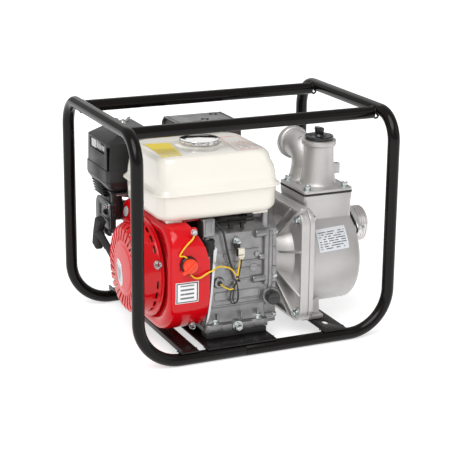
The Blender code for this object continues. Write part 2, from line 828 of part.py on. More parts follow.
def build_air_cleaner(black, foam, steel):
    x0, x1 = cleaner_x
    w = cleaner_wall
    slope_x = x0 + 0.045
    outline = [(x0, cleaner_seam), (x0, cleaner_edge_z), (slope_x, cleaner_top), (x1 - 0.008, cleaner_top),
               (x1, cleaner_top - 0.008), (x1, cleaner_seam)]
    inner = [(x0 + w, cleaner_seam - overcut), (x0 + w, cleaner_edge_z - w),
             (slope_x + w / 2, cleaner_top - w),
             (x1 - w, cleaner_top - w - 0.004), (x1 - w, cleaner_seam - overcut)]
    cover = prism(outline, "y", *cleaner_y)
    cut(cover, prism(inner, "y", cleaner_y[0] + w, cleaner_y[1] - w))
    node("air_cleaner_cover", cover, black, (sum(cleaner_x) / 2, sum(cleaner_y) / 2, cleaner_seam))
    seam = cleaner_seam - clearance

    def section(z, inset):
        us = (x0 + inset, x1 - inset)
        vs = (cleaner_y[0] + inset, cleaner_y[1] - inset)
        return [(u, v, z) for u, v in rounded(us, vs, 0.010, 3)]

    base = rings([section(cleaner_bottom, 0.016), section(cleaner_bottom + 0.012, 0.004), section(seam, 0.0)])
    cut(base, rings([section(cleaner_bottom + w, 0.018), section(cleaner_bottom + 0.013, 0.0065),
                     section(seam + overcut, w)]))
    y, z = carb_centre
    elbow = box((x0 + 0.017, y - 0.020, z - 0.020),
                (carb_span[0] - clearance, y + 0.020, cleaner_bottom + w / 2))
    fuse(base, elbow)
    duct = box((x0 + 0.020, y - 0.014, z - 0.014),
               (carb_span[0] - 0.005, y + 0.014, cleaner_bottom + overcut))
    cut(base, duct, cylinder("x", carb_centre, 0.011, carb_span[0] - 0.01, carb_span[0] + overcut, 16))
    node("air_cleaner_base", base, black)
    pad = 0.012
    filter_ring = prism(rounded((x0 + pad, x1 - pad), (cleaner_y[0] + pad, cleaner_y[1] - pad), 0.02, 3), "z",
                        cleaner_seam + 0.002, cleaner_edge_z - 0.010)
    cut(filter_ring, prism(rounded((x0 + 2 * pad, x1 - 2 * pad),
                                   (cleaner_y[0] + 2 * pad, cleaner_y[1] - 2 * pad), 0.012, 3), "z",
                           cleaner_seam - overcut, cleaner_edge_z + overcut))
    node("air_filter_element", filter_ring, foam)
    x, y = wing_nut_centre
    low = cleaner_top + clearance
    nut = lathe([(low, 0), (low, 0.007), (low + 0.007, 0.0055), (low + 0.007, 0)], "z", wing_nut_centre, 12)
    for side in (-1, 1):
        wing = prism([(x + side * 0.003, low + 0.002), (x + side * 0.012, low + 0.007),
                      (x + side * 0.015, low + 0.014),
                      (x + side * 0.010, low + 0.014), (x + side * 0.003,
                                                        low + 0.006)], "y", y - 0.0013, y + 0.0013)
        fuse(nut, wing)
    node("wing_nut", nut, steel, (x, y, low))


def build_carburettor(alloy, black, red):
    y, z = carb_centre
    x0, x1 = carb_span
    body = cylinder("x", carb_centre, carb_radius, x0, x1 - clearance, 20)
    fuse(body, box((x1 - 0.006, y - 0.020, z - 0.024), (x1 - 2 * clearance, y + 0.020, z + 0.022)))
    bowl_x = x0 + 0.032
    bowl_top = z - 0.012
    fuse(body, lathe([(bowl_top - 0.036, 0), (bowl_top - 0.036, bowl_radius - 0.006),
                      (bowl_top - 0.028, bowl_radius),
                      (bowl_top - 0.006, bowl_radius), (bowl_top, 0.012), (bowl_top + 0.004,
                                                                           0)], "z", (bowl_x, y), 20))
    cut(body, cylinder("x", carb_centre, 0.011, x0 - overcut, x1 - 0.012, 16))
    node("carburettor", body, alloy)
    guard_x = cleaner_x[0] + 0.0095
    rim = rounded((cleaner_y[0] + 0.006, cleaner_y[1] - 0.024), (z - 0.044, cleaner_bottom - 0.002), 0.020, 4)
    guard = prism(rim, "x", guard_x, guard_x + 0.002)
    window = rounded((cleaner_y[0] + 0.018, cleaner_y[1] - 0.050), (z - 0.032, z + 0.008), 0.006, 3)
    cut(guard, prism(window, "x", guard_x - overcut, guard_x + overcut))
    node("carburettor_guard", guard, black)
    far_face = y + bowl_radius + 0.004
    levers = [
        ("choke_lever", (x0 + 0.014, z + 0.002), 0.034, 200, black),
        ("fuel_valve_lever", (bowl_x + 0.006, z - 0.040), 0.024, 180, red),
        ("throttle_lever", (x1 - 0.020, z + 0.012), 0.036, 182, red),
    ]
    for name, pivot, length, heading, mat in levers:
        a = math.radians(heading)
        tip = (pivot[0] + length * math.cos(a), pivot[1] + length * math.sin(a))
        lever = cylinder("y", pivot, 0.006, far_face, far_face + 0.004, 16)
        arm = sweep([(pivot[0], far_face + 0.002, pivot[1]), (tip[0], far_face + 0.002, tip[1])], 0.0016, 4,
                    (0, 1, 0))
        knob = cylinder("y", tip, 0.005, far_face - 0.001, far_face + 0.006, 12)
        fuse(lever, arm, knob)
        node(name, lever, mat, (pivot[0], far_face, pivot[1]))


def build_governor(steel):
    pivot = (-0.062, 0.082)
    y = case_far_y + clearance
    hub = cylinder("y", pivot, 0.006, y, y + 0.020, 16)
    arm = prism([(pivot[0] - 0.005, pivot[1]), (pivot[0] + 0.005, pivot[1]),
                 (pivot[0] - 0.002, pivot[1] + 0.040),
                 (pivot[0] - 0.010, pivot[1] + 0.040)], "y", y + 0.015, y + 0.018)
    node("governor_arm", fuse(hub, arm), steel, (pivot[0], y, pivot[1]))


def build_muffler(dark, guard_paint):
    x0, x1 = muffler_x
    y0, y1 = muffler_y
    z0, z1 = muffler_z
    body = prism(rounded((y0, y1), (z0, z1), 0.018, 4), "x", x0, x1)
    reach = deck_distance + head_depth / 2
    pipe_y = crank_y + reach * math.cos(cylinder_tilt) - head_half_height * math.sin(cylinder_tilt)
    pipe_z = crank_z + reach * math.sin(cylinder_tilt) + head_half_height * math.cos(cylinder_tilt)
    fuse(body, cylinder("z", (-0.010, max(pipe_y, y0 + 0.016)), 0.012, pipe_z + 0.009, z0 + 0.012, 16))
    tail = cylinder("x", ((y0 + y1) / 2 + 0.022, z0 + 0.030), 0.008, x1 - 0.004, x1 + 0.014, 16)
    fuse(body, tail)
    cut(body, cylinder("x", ((y0 + y1) / 2 + 0.022, z0 + 0.030), 0.0065, x1 - 0.030, x1 + 0.02, 16))
    node("muffler", body, dark)
    top = z1 + guard_gap
    far = y1 + guard_gap
    t = guard_wall
    outline = [(y0, top), (far - 0.010, top), (far, top - 0.010), (far, z0 + 0.010), (far + t, z0 + 0.010),
               (far + t, top - 0.010), (far - 0.010 + t, top + t), (y0, top + t)]
    node("muffler_guard", prism(outline, "x", x0 - 0.004, x1 + 0.001), guard_paint)


def build_switch(black, red, yellow):
    near = shroud_near_y - clearance
    node("engine_switch_body", cylinder("y", switch_centre, switch_body_radius, near - switch_body_depth,
                                        near), black)
    front = near - switch_body_depth - clearance
    knob = cylinder("y", switch_centre, knob_radius, front - knob_depth, front)
    x, z = switch_centre
    fuse(knob, box((x - 0.0035, front - knob_depth - 0.004, z - knob_radius + 0.001),
                   (x + 0.0035, front - knob_depth + 0.001, z + knob_radius - 0.001)))
    node("engine_switch_knob", knob, red, (x, front, z))
    lead = [(x + u, shroud_near_y + v, z + w) for u, v, w in lead_route]
    node("switch_lead", sweep(smooth_path(lead), lead_radius, 8), yellow)


def smooth_path(points, steps=5):
    """A curve through all the points (Catmull-Rom)."""
    points = [Vector(p) for p in points]
    padded = [points[0] * 2 - points[1]] + points + [points[-1] * 2 - points[-2]]
    path = []
    for a, b, c, d in zip(padded, padded[1:], padded[2:], padded[3:]):
        for k in range(steps):
            t = k / steps
            square = 2 * a - 5 * b + 4 * c - d
            cube = 3 * b - a - 3 * c + d
            path.append(0.5 * (2 * b + (c - a) * t + square * t * t + cube * t ** 3))
    path.append(points[-1])
    return path


def build_oil_plug(black):
    y = case_near_y - clearance
    centre = (case_joint_x + clearance + cover_depth / 2 + 0.001, base_z + 0.048)
    plug = lathe([(y - 0.018, 0), (y - 0.018, 0.011), (y - 0.016, 0.0125), (y, 0.0125), (y, 0)], "y",
                 centre, 20)
    node("oil_filler_plug", plug, black, (centre[0], y, centre[1]))


def flange_outline(inset=0.0):
    us = (flange_y[0] + inset, flange_y[1] - inset)
    vs = (flange_z[0] + inset, flange_z[1] - inset)
    return rounded(us, vs, flange_corner - inset * 0.5, 4)


def build_adapter(alloy):
    start = cover_end_x + 0.005 + clearance
    end = flange_x + flange_thickness
    core = lathe([(start, 0), (start, adapter_core_radius), (flange_x + 0.002, adapter_core_radius + 0.008),
                  (flange_x + 0.002, 0)], "x", crank_centre, 32)
    adapter = fuse(core, prism(flange_outline(), "x", flange_x, end))
    cy, cz = crank_centre
    for side_y, side_z in ((-1, -1), (-1, 1), (1, -1), (1, 1)):
        corner_y = flange_y[0 if side_y < 0 else 1] - side_y * 0.014
        corner_z = flange_z[0 if side_z < 0 else 1] - side_z * 0.014
        rib = rings([
            [(start + 0.002, cy + side_y * 0.030 - 0.003, cz + side_z * 0.030),
             (start + 0.002, cy + side_y * 0.030 + 0.003, cz + side_z * 0.030),
             (flange_x + 0.002, cy + side_y * 0.030 + 0.003, cz + side_z * 0.030),
             (flange_x + 0.002, cy + side_y * 0.030 - 0.003, cz + side_z * 0.030)],
            [(flange_x - 0.010, corner_y - 0.003, corner_z), (flange_x - 0.010, corner_y + 0.003, corner_z),
             (flange_x + 0.002, corner_y + 0.003, corner_z), (flange_x + 0.002, corner_y - 0.003, corner_z)],
        ])
        fuse(adapter, rib)
    pocket = lathe([(start - overcut, 0), (start - overcut, 0.044), (flange_x - 0.004, 0.046),
                    (flange_x - 0.004, 0)], "x", crank_centre)
    hole = cylinder("x", crank_centre, shaft_radius + 2 * clearance, start, end + overcut, 20)
    cut(adapter, pocket, hole)
    node("pump_adapter", adapter, alloy)
    seal = tube_ring("x", crank_centre, shaft_radius + clearance, 0.018, end + clearance,
                     impeller_span[0] - clearance)
    node("mechanical_seal", seal, seal_grey(), (end, *crank_centre))


def seal_grey():
    return paint("seal_ceramic", (0.55, 0.53, 0.50), 0.4, 0.0)


def build_casing(alloy):
    start = flange_x + flange_thickness + clearance
    back_end = start + flange_thickness
    casing = prism(flange_outline(), "x", start, back_end)
    drum = lathe([(back_end - 0.003, 0), (back_end - 0.003, drum_radius),
                  (drum_end_x - 0.003, drum_radius - 0.001),
                  (drum_end_x, drum_radius - 0.004), (drum_end_x, 0)], "x", drum_centre, 40)
    neck = prism(rounded(outlet_x, outlet_y, 0.007, 3), "z", drum_centre[1], outlet_face_z)
    fuse(casing, drum, neck)
    boss_end = drum_end_x + 0.0135
    fuse(casing, cylinder("x", suction_centre, suction_boss_radius, drum_end_x - 0.003, boss_end))
    for side in (-1, 1):
        centre = (suction_centre[0] + side * (ear_reach - 0.009), suction_centre[1])
        fuse(casing, cylinder("x", centre, 0.008, drum_end_x - 0.003, boss_end, 16))
    for side in (-1, 1):
        y = drum_centre[0] + side * 0.056
        foot = box((start + 0.003, y - 0.014, plate_top + clearance),
                   (pump_plate_span[0] + 0.028, y + 0.014, drum_centre[1] - drum_radius * 0.7))
        fuse(casing, foot)
    w = casing_wall
    cavity = lathe([(start - overcut, 0), (start - overcut, drum_radius - w),
                    (drum_end_x - w, drum_radius - w - 0.002),
                    (drum_end_x - w, 0)], "x", drum_centre, 40)
    cut(casing, cavity)
    neck_hole = rounded((outlet_x[0] + w, outlet_x[1] - w), (outlet_y[0] + w, outlet_y[1] - w), 0.004, 3)
    cut(casing, prism(neck_hole, "z", drum_centre[1] + drum_radius * 0.6, outlet_face_z + overcut))
    cut(casing, cylinder("x", suction_centre, suction_bore_radius, drum_end_x - 2 * w, boss_end + overcut))
    cut(casing, cylinder("x", drain_centre, 0.0065, drum_end_x - 2 * w, drum_end_x + overcut, 16))
    node("pump_casing", casing, alloy)


def build_wet_end(iron, brass):
    first, last = volute_span
    profile = [
        (first + clearance, volute_radius), (first + clearance, volute_radius + volute_wall), (last,
        volute_radius + volute_wall),
        (last + 0.004, volute_radius), (last + 0.004, 0.030), (last + 0.020, 0.026), (last + 0.020, 0.022),
        (last, 0.022), (last, volute_radius),
    ]
    volute = lathe(profile, "x", crank_centre, 32, closed=True)
    window = box((first + 0.004, crank_y + 0.010, crank_z), (last - 0.003, crank_y + volute_radius * 0.8,
                                                             crank_z + volute_radius * 1.4))
    cut(volute, window)
    node("volute", volute, iron)
    first, last = impeller_span
    disc = lathe([(first, 0), (first, impeller_radius), (first + 0.004, impeller_radius),
                  (first + 0.005, 0.018),
                  (last, 0.014), (last, 0)], "x", crank_centre, 32)
    cy, cz = crank_centre
    vane_count = 5
    for k in range(vane_count):
        start = 2 * math.pi * k / vane_count
        inner = []
        outer = []
        for step in range(6):
            f = step / 5
            radius = 0.012 + f * (impeller_radius - 0.0135)
            a = start + 1.1 * f
            half = 0.0015 / radius
            inner.append((cy + radius * math.cos(a - half), cz + radius * math.sin(a - half)))
            outer.append((cy + radius * math.cos(a + half), cz + radius * math.sin(a + half)))
        fuse(disc, prism(inner + outer[::-1], "x", first + 0.002, last - 0.001))
    cut(disc, cylinder("x", crank_centre, shaft_radius + clearance, first - overcut, last - 0.003, 20))
    node("impeller", disc, iron, (first, *crank_centre))


def build_outlet(alloy, rubber, black):
    low = outlet_face_z + clearance
    outline = rounded(outlet_x, outlet_y, 0.007, 3)
    w = casing_wall
    window = rounded((outlet_x[0] + w, outlet_x[1] - w), (outlet_y[0] + w, outlet_y[1] - w), 0.004, 3)
    gasket = prism(outline, "z", low, low + gasket_thickness)
    cut(gasket, prism(window, "z", low - overcut, low + gasket_thickness + overcut))
    node("outlet_gasket", gasket, rubber)
    base = low + gasket_thickness + clearance
    top = base + outlet_plate_thickness
    head = prism(outline, "z", base, top)
    neck = lathe([(base + 0.001, 0), (base + 0.001, neck_radius + 0.003), (top + 0.010, neck_radius),
                  (neck_top - 0.009, neck_radius),
                  (neck_top - 0.007, neck_rim_radius), (neck_top, neck_rim_radius), (neck_top,
                  0)], "z", neck_centre, 32)
    x, port_z = discharge_centre
    corners = [(x, discharge_base_y, base + 0.001), (x, discharge_base_y, port_z),
               (x, discharge_face_y - 0.001, port_z)]
    elbow = sweep(bent_path(corners, (0.030,), 8), discharge_radius, 24, (1, 0, 0))
    ring = cylinder("y", discharge_centre, discharge_ring_radius, discharge_face_y - 0.013,
                    discharge_face_y, 32)
    lug = box((neck_centre[0] + neck_radius - 0.004, neck_centre[1] - 0.005, 0.271),
              (neck_centre[0] + neck_radius + 0.015, neck_centre[1] + 0.005, 0.290))
    fuse(head, neck, elbow, ring, lug)
    bore = port_bore_radius
    neck_bore = lathe([(base - overcut, 0), (base - overcut, bore), (neck_top - 0.012, bore),
                       (neck_top - 0.012, neck_radius - 0.001),
                       (neck_top + overcut, neck_radius - 0.001), (neck_top + overcut,
                                                                   0)], "z", neck_centre, 32)
    corners = [(x, discharge_base_y, base - overcut / 2), (x, discharge_base_y, port_z),
               (x, discharge_face_y + overcut, port_z)]
    elbow_bore = sweep(bent_path(corners, (0.030,), 8), bore, 24, (1, 0, 0))
    cut(head, fuse(neck_bore, elbow_bore))
    node("outlet_head", head, alloy)
    seat = neck_top - 0.012 + clearance
    radius = neck_radius - 0.001 - clearance
    plug = lathe([(seat - 0.010, 0), (seat - 0.010, bore - 0.001), (seat, bore - 0.001), (seat, radius),
                  (seat + 0.008, radius),
                  (seat + 0.008, 0)], "z", neck_centre, 32)
    px, py = neck_centre
    fuse(plug, box((px - 0.004, py - 0.015, seat + 0.004), (px + 0.004, py + 0.015, seat + 0.033)))
    node("priming_plug", plug, black, (px, py, seat))


def build_inlet(alloy, rubber, black):
    start = drum_end_x + 0.0135 + 0.0026 + clearance
    plate = start + 0.008
    cy, cz = suction_centre
    ear = ear_reach
    half = 0.013
    outline = [(cy - ear + 0.004, cz - half), (cy - ear, cz - half * 0.5), (cy - ear, cz + half * 0.5),
               (cy - ear + 0.004, cz + half)]
    outline += [(cy + ear - 0.004, cz + half), (cy + ear, cz + half * 0.5), (cy + ear, cz - half * 0.5),
                (cy + ear - 0.004, cz - half)]
    flange = prism(outline, "x", start, plate)
    fuse(flange, cylinder("x", suction_centre, suction_radius, start + 0.001, suction_face_x, 32))
    cut(flange, cylinder("x", suction_centre, suction_bore_radius, start - overcut,
                         suction_face_x + overcut, 32))
    for side in (-1, 1):
        cut(flange, cylinder("x", (cy + side * (ear - 0.009), cz), 0.004, start - overcut, plate + overcut,
                             12))
    node("suction_flange", flange, alloy)
    gasket = prism(outline, "x", drum_end_x + 0.0135 + clearance, start - clearance)
    fuse(gasket, cylinder("x", suction_centre, suction_boss_radius, drum_end_x + 0.0137,
                          start - 2 * clearance, 32))
    cut(gasket, cylinder("x", suction_centre, suction_bore_radius, drum_end_x, start + overcut, 32))
    node("suction_gasket", gasket, rubber)
    flap_radius = suction_bore_radius - 0.0018
    flap = cylinder("x", suction_centre, flap_radius, drum_end_x + 0.004, drum_end_x + 0.009)
    node("check_valve_flap", flap, rubber, (drum_end_x + 0.0065, cy, cz + flap_radius - 0.004))
    x = drum_end_x + clearance
    drain = lathe([(x - 0.009, 0), (x - 0.009, 0.006), (x, 0.006), (x, 0.0115), (x + 0.005, 0.0115),
                   (x + 0.006, 0.008),
                   (x + 0.020, 0.008), (x + 0.020, 0)], "x", drain_centre, 12)
    node("pump_drain_plug", drain, black, (x, *drain_centre))


def build_all():
    clear_scene()
    black_tube = paint("gloss_black_tube", (0.012, 0.011, 0.011), 0.25, 0.0)
    black = paint("black_plastic", (0.02, 0.02, 0.02), 0.5, 0.0)
    rubber = paint("black_rubber", (0.015, 0.015, 0.015), 0.8, 0.0)
    alloy = paint("cast_aluminium", (0.62, 0.61, 0.60), 0.45, 1.0)
    steel = paint("bright_steel", (0.55, 0.55, 0.56), 0.3, 1.0)
    iron = paint("cast_iron", (0.18, 0.18, 0.18), 0.65, 0.8)
    red = paint("red_paint", (0.72, 0.012, 0.02), 0.3, 0.0)
    cream = paint("cream_paint", (0.86, 0.83, 0.76), 0.3, 0.0)
    chrome = paint("chrome", (0.8, 0.8, 0.8), 0.12, 1.0)
    dark = paint("heat_paint", (0.05, 0.048, 0.046), 0.6, 0.3)
    foam = paint("filter_foam", (0.12, 0.12, 0.12), 0.95, 0.0)
    white = paint("white_ceramic", (0.8, 0.79, 0.76), 0.4, 0.0)
    yellow = paint("yellow_wire", (0.85, 0.65, 0.05), 0.5, 0.0)
    build_frame(black_tube)
    build_plates(black_tube)
    build_mounts(rubber)
    build_crankcase(alloy)
    build_side_cover(alloy)
    build_bearings(steel)
    build_crank(steel)
    build_camshaft(steel)
    build_piston(alloy, steel)
    build_head(alloy, black, white)
    build_flywheel(cream, steel)
    build_shroud(red, black)
    build_recoil(red, black, white)
    build_tank(cream, chrome, dark)
    build_air_cleaner(black, foam, steel)
    build_carburettor(alloy, black, red)
    build_governor(steel)
    build_muffler(dark, dark)
    build_switch(black, red, yellow)
    build_oil_plug(black)
    build_adapter(alloy)
    build_casing(alloy)
    build_wet_end(iron, steel)
    build_outlet(alloy, rubber, black)
    build_inlet(alloy, rubber, black)


build_all()
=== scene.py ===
import math

import bpy
from mathutils import Matrix, Vector


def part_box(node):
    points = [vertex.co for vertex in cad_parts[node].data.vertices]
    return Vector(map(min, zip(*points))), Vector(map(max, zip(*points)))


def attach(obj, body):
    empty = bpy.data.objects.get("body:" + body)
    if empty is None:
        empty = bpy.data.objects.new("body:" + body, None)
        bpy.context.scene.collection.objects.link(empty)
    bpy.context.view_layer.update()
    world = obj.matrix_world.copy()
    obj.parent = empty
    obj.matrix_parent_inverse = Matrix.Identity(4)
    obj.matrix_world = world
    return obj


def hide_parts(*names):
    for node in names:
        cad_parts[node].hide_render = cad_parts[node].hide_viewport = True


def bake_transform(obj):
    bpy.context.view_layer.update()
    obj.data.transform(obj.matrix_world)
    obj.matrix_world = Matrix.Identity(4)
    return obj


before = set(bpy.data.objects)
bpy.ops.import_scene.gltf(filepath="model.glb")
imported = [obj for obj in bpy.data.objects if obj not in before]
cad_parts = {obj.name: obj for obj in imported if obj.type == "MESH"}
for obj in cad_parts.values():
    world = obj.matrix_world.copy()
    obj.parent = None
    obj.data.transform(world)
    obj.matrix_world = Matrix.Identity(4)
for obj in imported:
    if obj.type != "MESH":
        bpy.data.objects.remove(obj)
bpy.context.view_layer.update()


# Small workshop helpers: pick, freeze, modify, name.

def pickOnly(*pieces):
    bpy.ops.object.select_all(action="DESELECT")
    for piece in pieces:
        piece.select_set(True)
    bpy.context.view_layer.objects.active = pieces[-1]


def freeze(piece):
    pickOnly(piece)
    bpy.ops.object.transform_apply(location=True, rotation=True, scale=True)
    return piece


def applyModifier(piece, kind, **settings):
    pickOnly(piece)
    modifier = piece.modifiers.new(kind.title(), kind)
    for setting, value in settings.items():
        setattr(modifier, setting, value)
    bpy.ops.object.modifier_apply(modifier=modifier.name)
    return piece


def soften(piece, width, segments=2, angle=30):
    return applyModifier(piece, "BEVEL", width=width, segments=segments,
                         limit_method="ANGLE", angle_limit=math.radians(angle))


def carve(piece, *cutters):
    for cutter in cutters:
        applyModifier(piece, "BOOLEAN", operation="DIFFERENCE", object=cutter, solver="EXACT")
        bpy.data.objects.remove(cutter)


def weld(piece, *others):
    for other in others:
        applyModifier(piece, "BOOLEAN", operation="UNION", object=other, solver="EXACT")
        bpy.data.objects.remove(other)
    return piece


def gather(pieces):
    pickOnly(*pieces)
    if len(pieces) > 1:
        bpy.ops.object.join()
    return bpy.context.object


def turnPiece(piece, matrix):
    piece.data.transform(matrix)
    return piece


def along(axis, u, v, t):
    return Vector({"x": (t, u, v), "y": (u, t, v), "z": (u, v, t)}[axis])


def low(node):
    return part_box(node)[0]


def block(lowCorner, highCorner, bevel=0.0, segments=2):
    lowCorner, highCorner = Vector(lowCorner), Vector(highCorner)
    bpy.ops.mesh.primitive_cube_add(size=1, location=(lowCorner + highCorner) / 2)
    piece = bpy.context.object
    piece.scale = highCorner - lowCorner
    freeze(piece)
    return soften(piece, bevel, segments) if bevel else piece


def turned(profile, axis, centre, steps=64, ringShape=False, bevel=0.0):
    # profile: (place along the axis, radius). A circle is extruded and resized from point to point.
    fill = "NOTHING" if ringShape else "NGON"
    bpy.ops.mesh.primitive_circle_add(vertices=steps, radius=profile[0][1], fill_type=fill)
    piece = bpy.context.object
    stations = profile + profile[:1] if ringShape else profile
    bpy.ops.object.mode_set(mode="EDIT")
    bpy.ops.mesh.select_mode(type="VERT")
    bpy.ops.mesh.select_all(action="SELECT")
    for before, after in zip(stations, stations[1:]):
        bpy.ops.mesh.extrude_region_move(TRANSFORM_OT_translate={"value": (0, 0, after[0] - before[0])})
        ratio = after[1] / before[1]
        bpy.ops.transform.resize(value=(ratio, ratio, 1), center_override=(0, 0, 0))
    bpy.ops.mesh.select_all(action="SELECT")
    bpy.ops.mesh.remove_doubles(threshold=0.00001)
    bpy.ops.mesh.normals_make_consistent(inside=False)
    bpy.ops.object.mode_set(mode="OBJECT")
    place = along(axis, *centre, profile[0][0])
    cycle = {"x": ((0, 0, 1), (1, 0, 0), (0, 1, 0)), "y": ((1, 0, 0), (0, 0, 1), (0, -1, 0)),
             "z": ((1, 0, 0), (0, 1, 0), (0, 0, 1))}[axis]
    turnPiece(piece, Matrix.Translation(place) @ Matrix(cycle).to_4x4())
    return soften(piece, bevel, 3) if bevel else piece


def rod(axis, centre, radius, start, end, steps=48, bevel=0.0):
    return turned([(start, radius), (end, radius)], axis, centre, steps, bevel=bevel)


def roundedOutline(us, vs, radius, steps=8, lowRadius=None):
    lowRadius = radius if lowRadius is None else lowRadius
    corners = [(us[1], vs[1], 0, radius), (us[0], vs[1], 90, radius),
               (us[0], vs[0], 180, lowRadius), (us[1], vs[0], 270, lowRadius)]
    points = []
    for u, v, first, size in corners:
        centreU = u - math.copysign(size, u - sum(us) / 2)
        centreV = v - math.copysign(size, v - sum(vs) / 2)
        for k in range(steps + 1):
            a = math.radians(first + 90 * k / steps)
            points.append((centreU + size * math.cos(a), centreV + size * math.sin(a)))
    return points


def plate(outline, axis, start, end, bevel=0.0, segments=2):
    # A filled circle with its points moved to the outline, extruded along the axis.
    bpy.ops.mesh.primitive_circle_add(vertices=len(outline), radius=1, fill_type="NGON")
    piece = bpy.context.object
    for vertex, (u, v) in zip(piece.data.vertices, outline):
        vertex.co = along(axis, u, v, start)
    bpy.ops.object.mode_set(mode="EDIT")
    bpy.ops.mesh.select_all(action="SELECT")
    bpy.ops.mesh.extrude_region_move(TRANSFORM_OT_translate={"value": along(axis, 0, 0, end - start)})
    bpy.ops.mesh.select_all(action="SELECT")
    bpy.ops.mesh.normals_make_consistent(inside=False)
    bpy.ops.object.mode_set(mode="OBJECT")
    return soften(piece, bevel, segments) if bevel else piece


def lofted(sections):
    # A grid rolled round the sections, its long edges merged and its two ends filled.
    count = len(sections[0])
    bpy.ops.mesh.primitive_grid_add(x_subdivisions=count, y_subdivisions=len(sections) - 1)
    piece = bpy.context.object
    for row, section in enumerate(sections):
        for column in range(count + 1):
            piece.data.vertices[row * (count + 1) + column].co = section[column % count]
    bpy.ops.object.mode_set(mode="EDIT")
    bpy.ops.mesh.select_mode(type="VERT")
    bpy.ops.mesh.select_all(action="SELECT")
    bpy.ops.mesh.remove_doubles(threshold=0.00001)
    bpy.ops.object.mode_set(mode="OBJECT")
    return fillEnds(piece)


def fillEnds(piece):
    bpy.ops.object.mode_set(mode="EDIT")
    bpy.ops.mesh.select_mode(type="EDGE")
    bpy.ops.mesh.select_all(action="DESELECT")
    bpy.ops.mesh.select_non_manifold()
    bpy.ops.mesh.fill_holes(sides=0)
    bpy.ops.mesh.select_all(action="SELECT")
    bpy.ops.mesh.normals_make_consistent(inside=False)
    bpy.ops.mesh.select_mode(type="VERT")
    bpy.ops.object.mode_set(mode="OBJECT")
    return piece


def smoothRoute(points, steps=6):
    points = [Vector(p) for p in points]
    padded = [points[0] * 2 - points[1]] + points + [points[-1] * 2 - points[-2]]
    path = []
    for a, b, c, d in zip(padded, padded[1:], padded[2:], padded[3:]):
        for k in range(steps):
            t = k / steps
            path.append(0.5 * (2 * b + (c - a) * t + (2 * a - 5 * b + 4 * c - d) * t * t
                               + (3 * b - a - 3 * c + d) * t ** 3))
    return path + [points[-1]]


def wire(points, radius, sides=10, smooth=True):
    # A path whose points are set one by one, given a round bevel and made a mesh.
    route = smoothRoute(points) if smooth else [Vector(p) for p in points]
    bpy.ops.object.select_all(action="DESELECT")
    bpy.ops.curve.primitive_nurbs_path_add()
    curve = bpy.context.object.data
    spline = curve.splines[0]
    spline.type = "POLY"
    spline.points.add(len(route) - len(spline.points))
    for point, place in zip(spline.points, route):
        point.co = (*place, 1)
    curve.bevel_depth = radius
    curve.bevel_resolution = max(1, (sides - 4) // 2)
    curve.use_fill_caps = True
    bpy.ops.object.convert(target="MESH")
    return bpy.context.object


def lookAlong(direction):
    return Vector(direction).to_track_quat("Z", "Y").to_matrix().to_4x4()


def finished(piece, name, body, slotName, material, *nodes, smoothAngle=35):
    piece.name = name
    piece.data.name = name
    piece.data.materials.clear()
    piece.data.materials.append(material)
    pickOnly(piece)
    bpy.ops.object.shade_smooth_by_angle(angle=math.radians(smoothAngle))
    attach(piece, body)
    if nodes:
        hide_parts(*nodes)
    return piece


# Finishes.

def startFinish(name, colour, metallic):
    material = bpy.data.materials.new(name)
    material.use_nodes = True
    material.diffuse_color = (*colour, 1)
    shader = material.node_tree.nodes["Principled BSDF"]
    shader.inputs["Metallic"].default_value = metallic
    return material, material.node_tree, shader


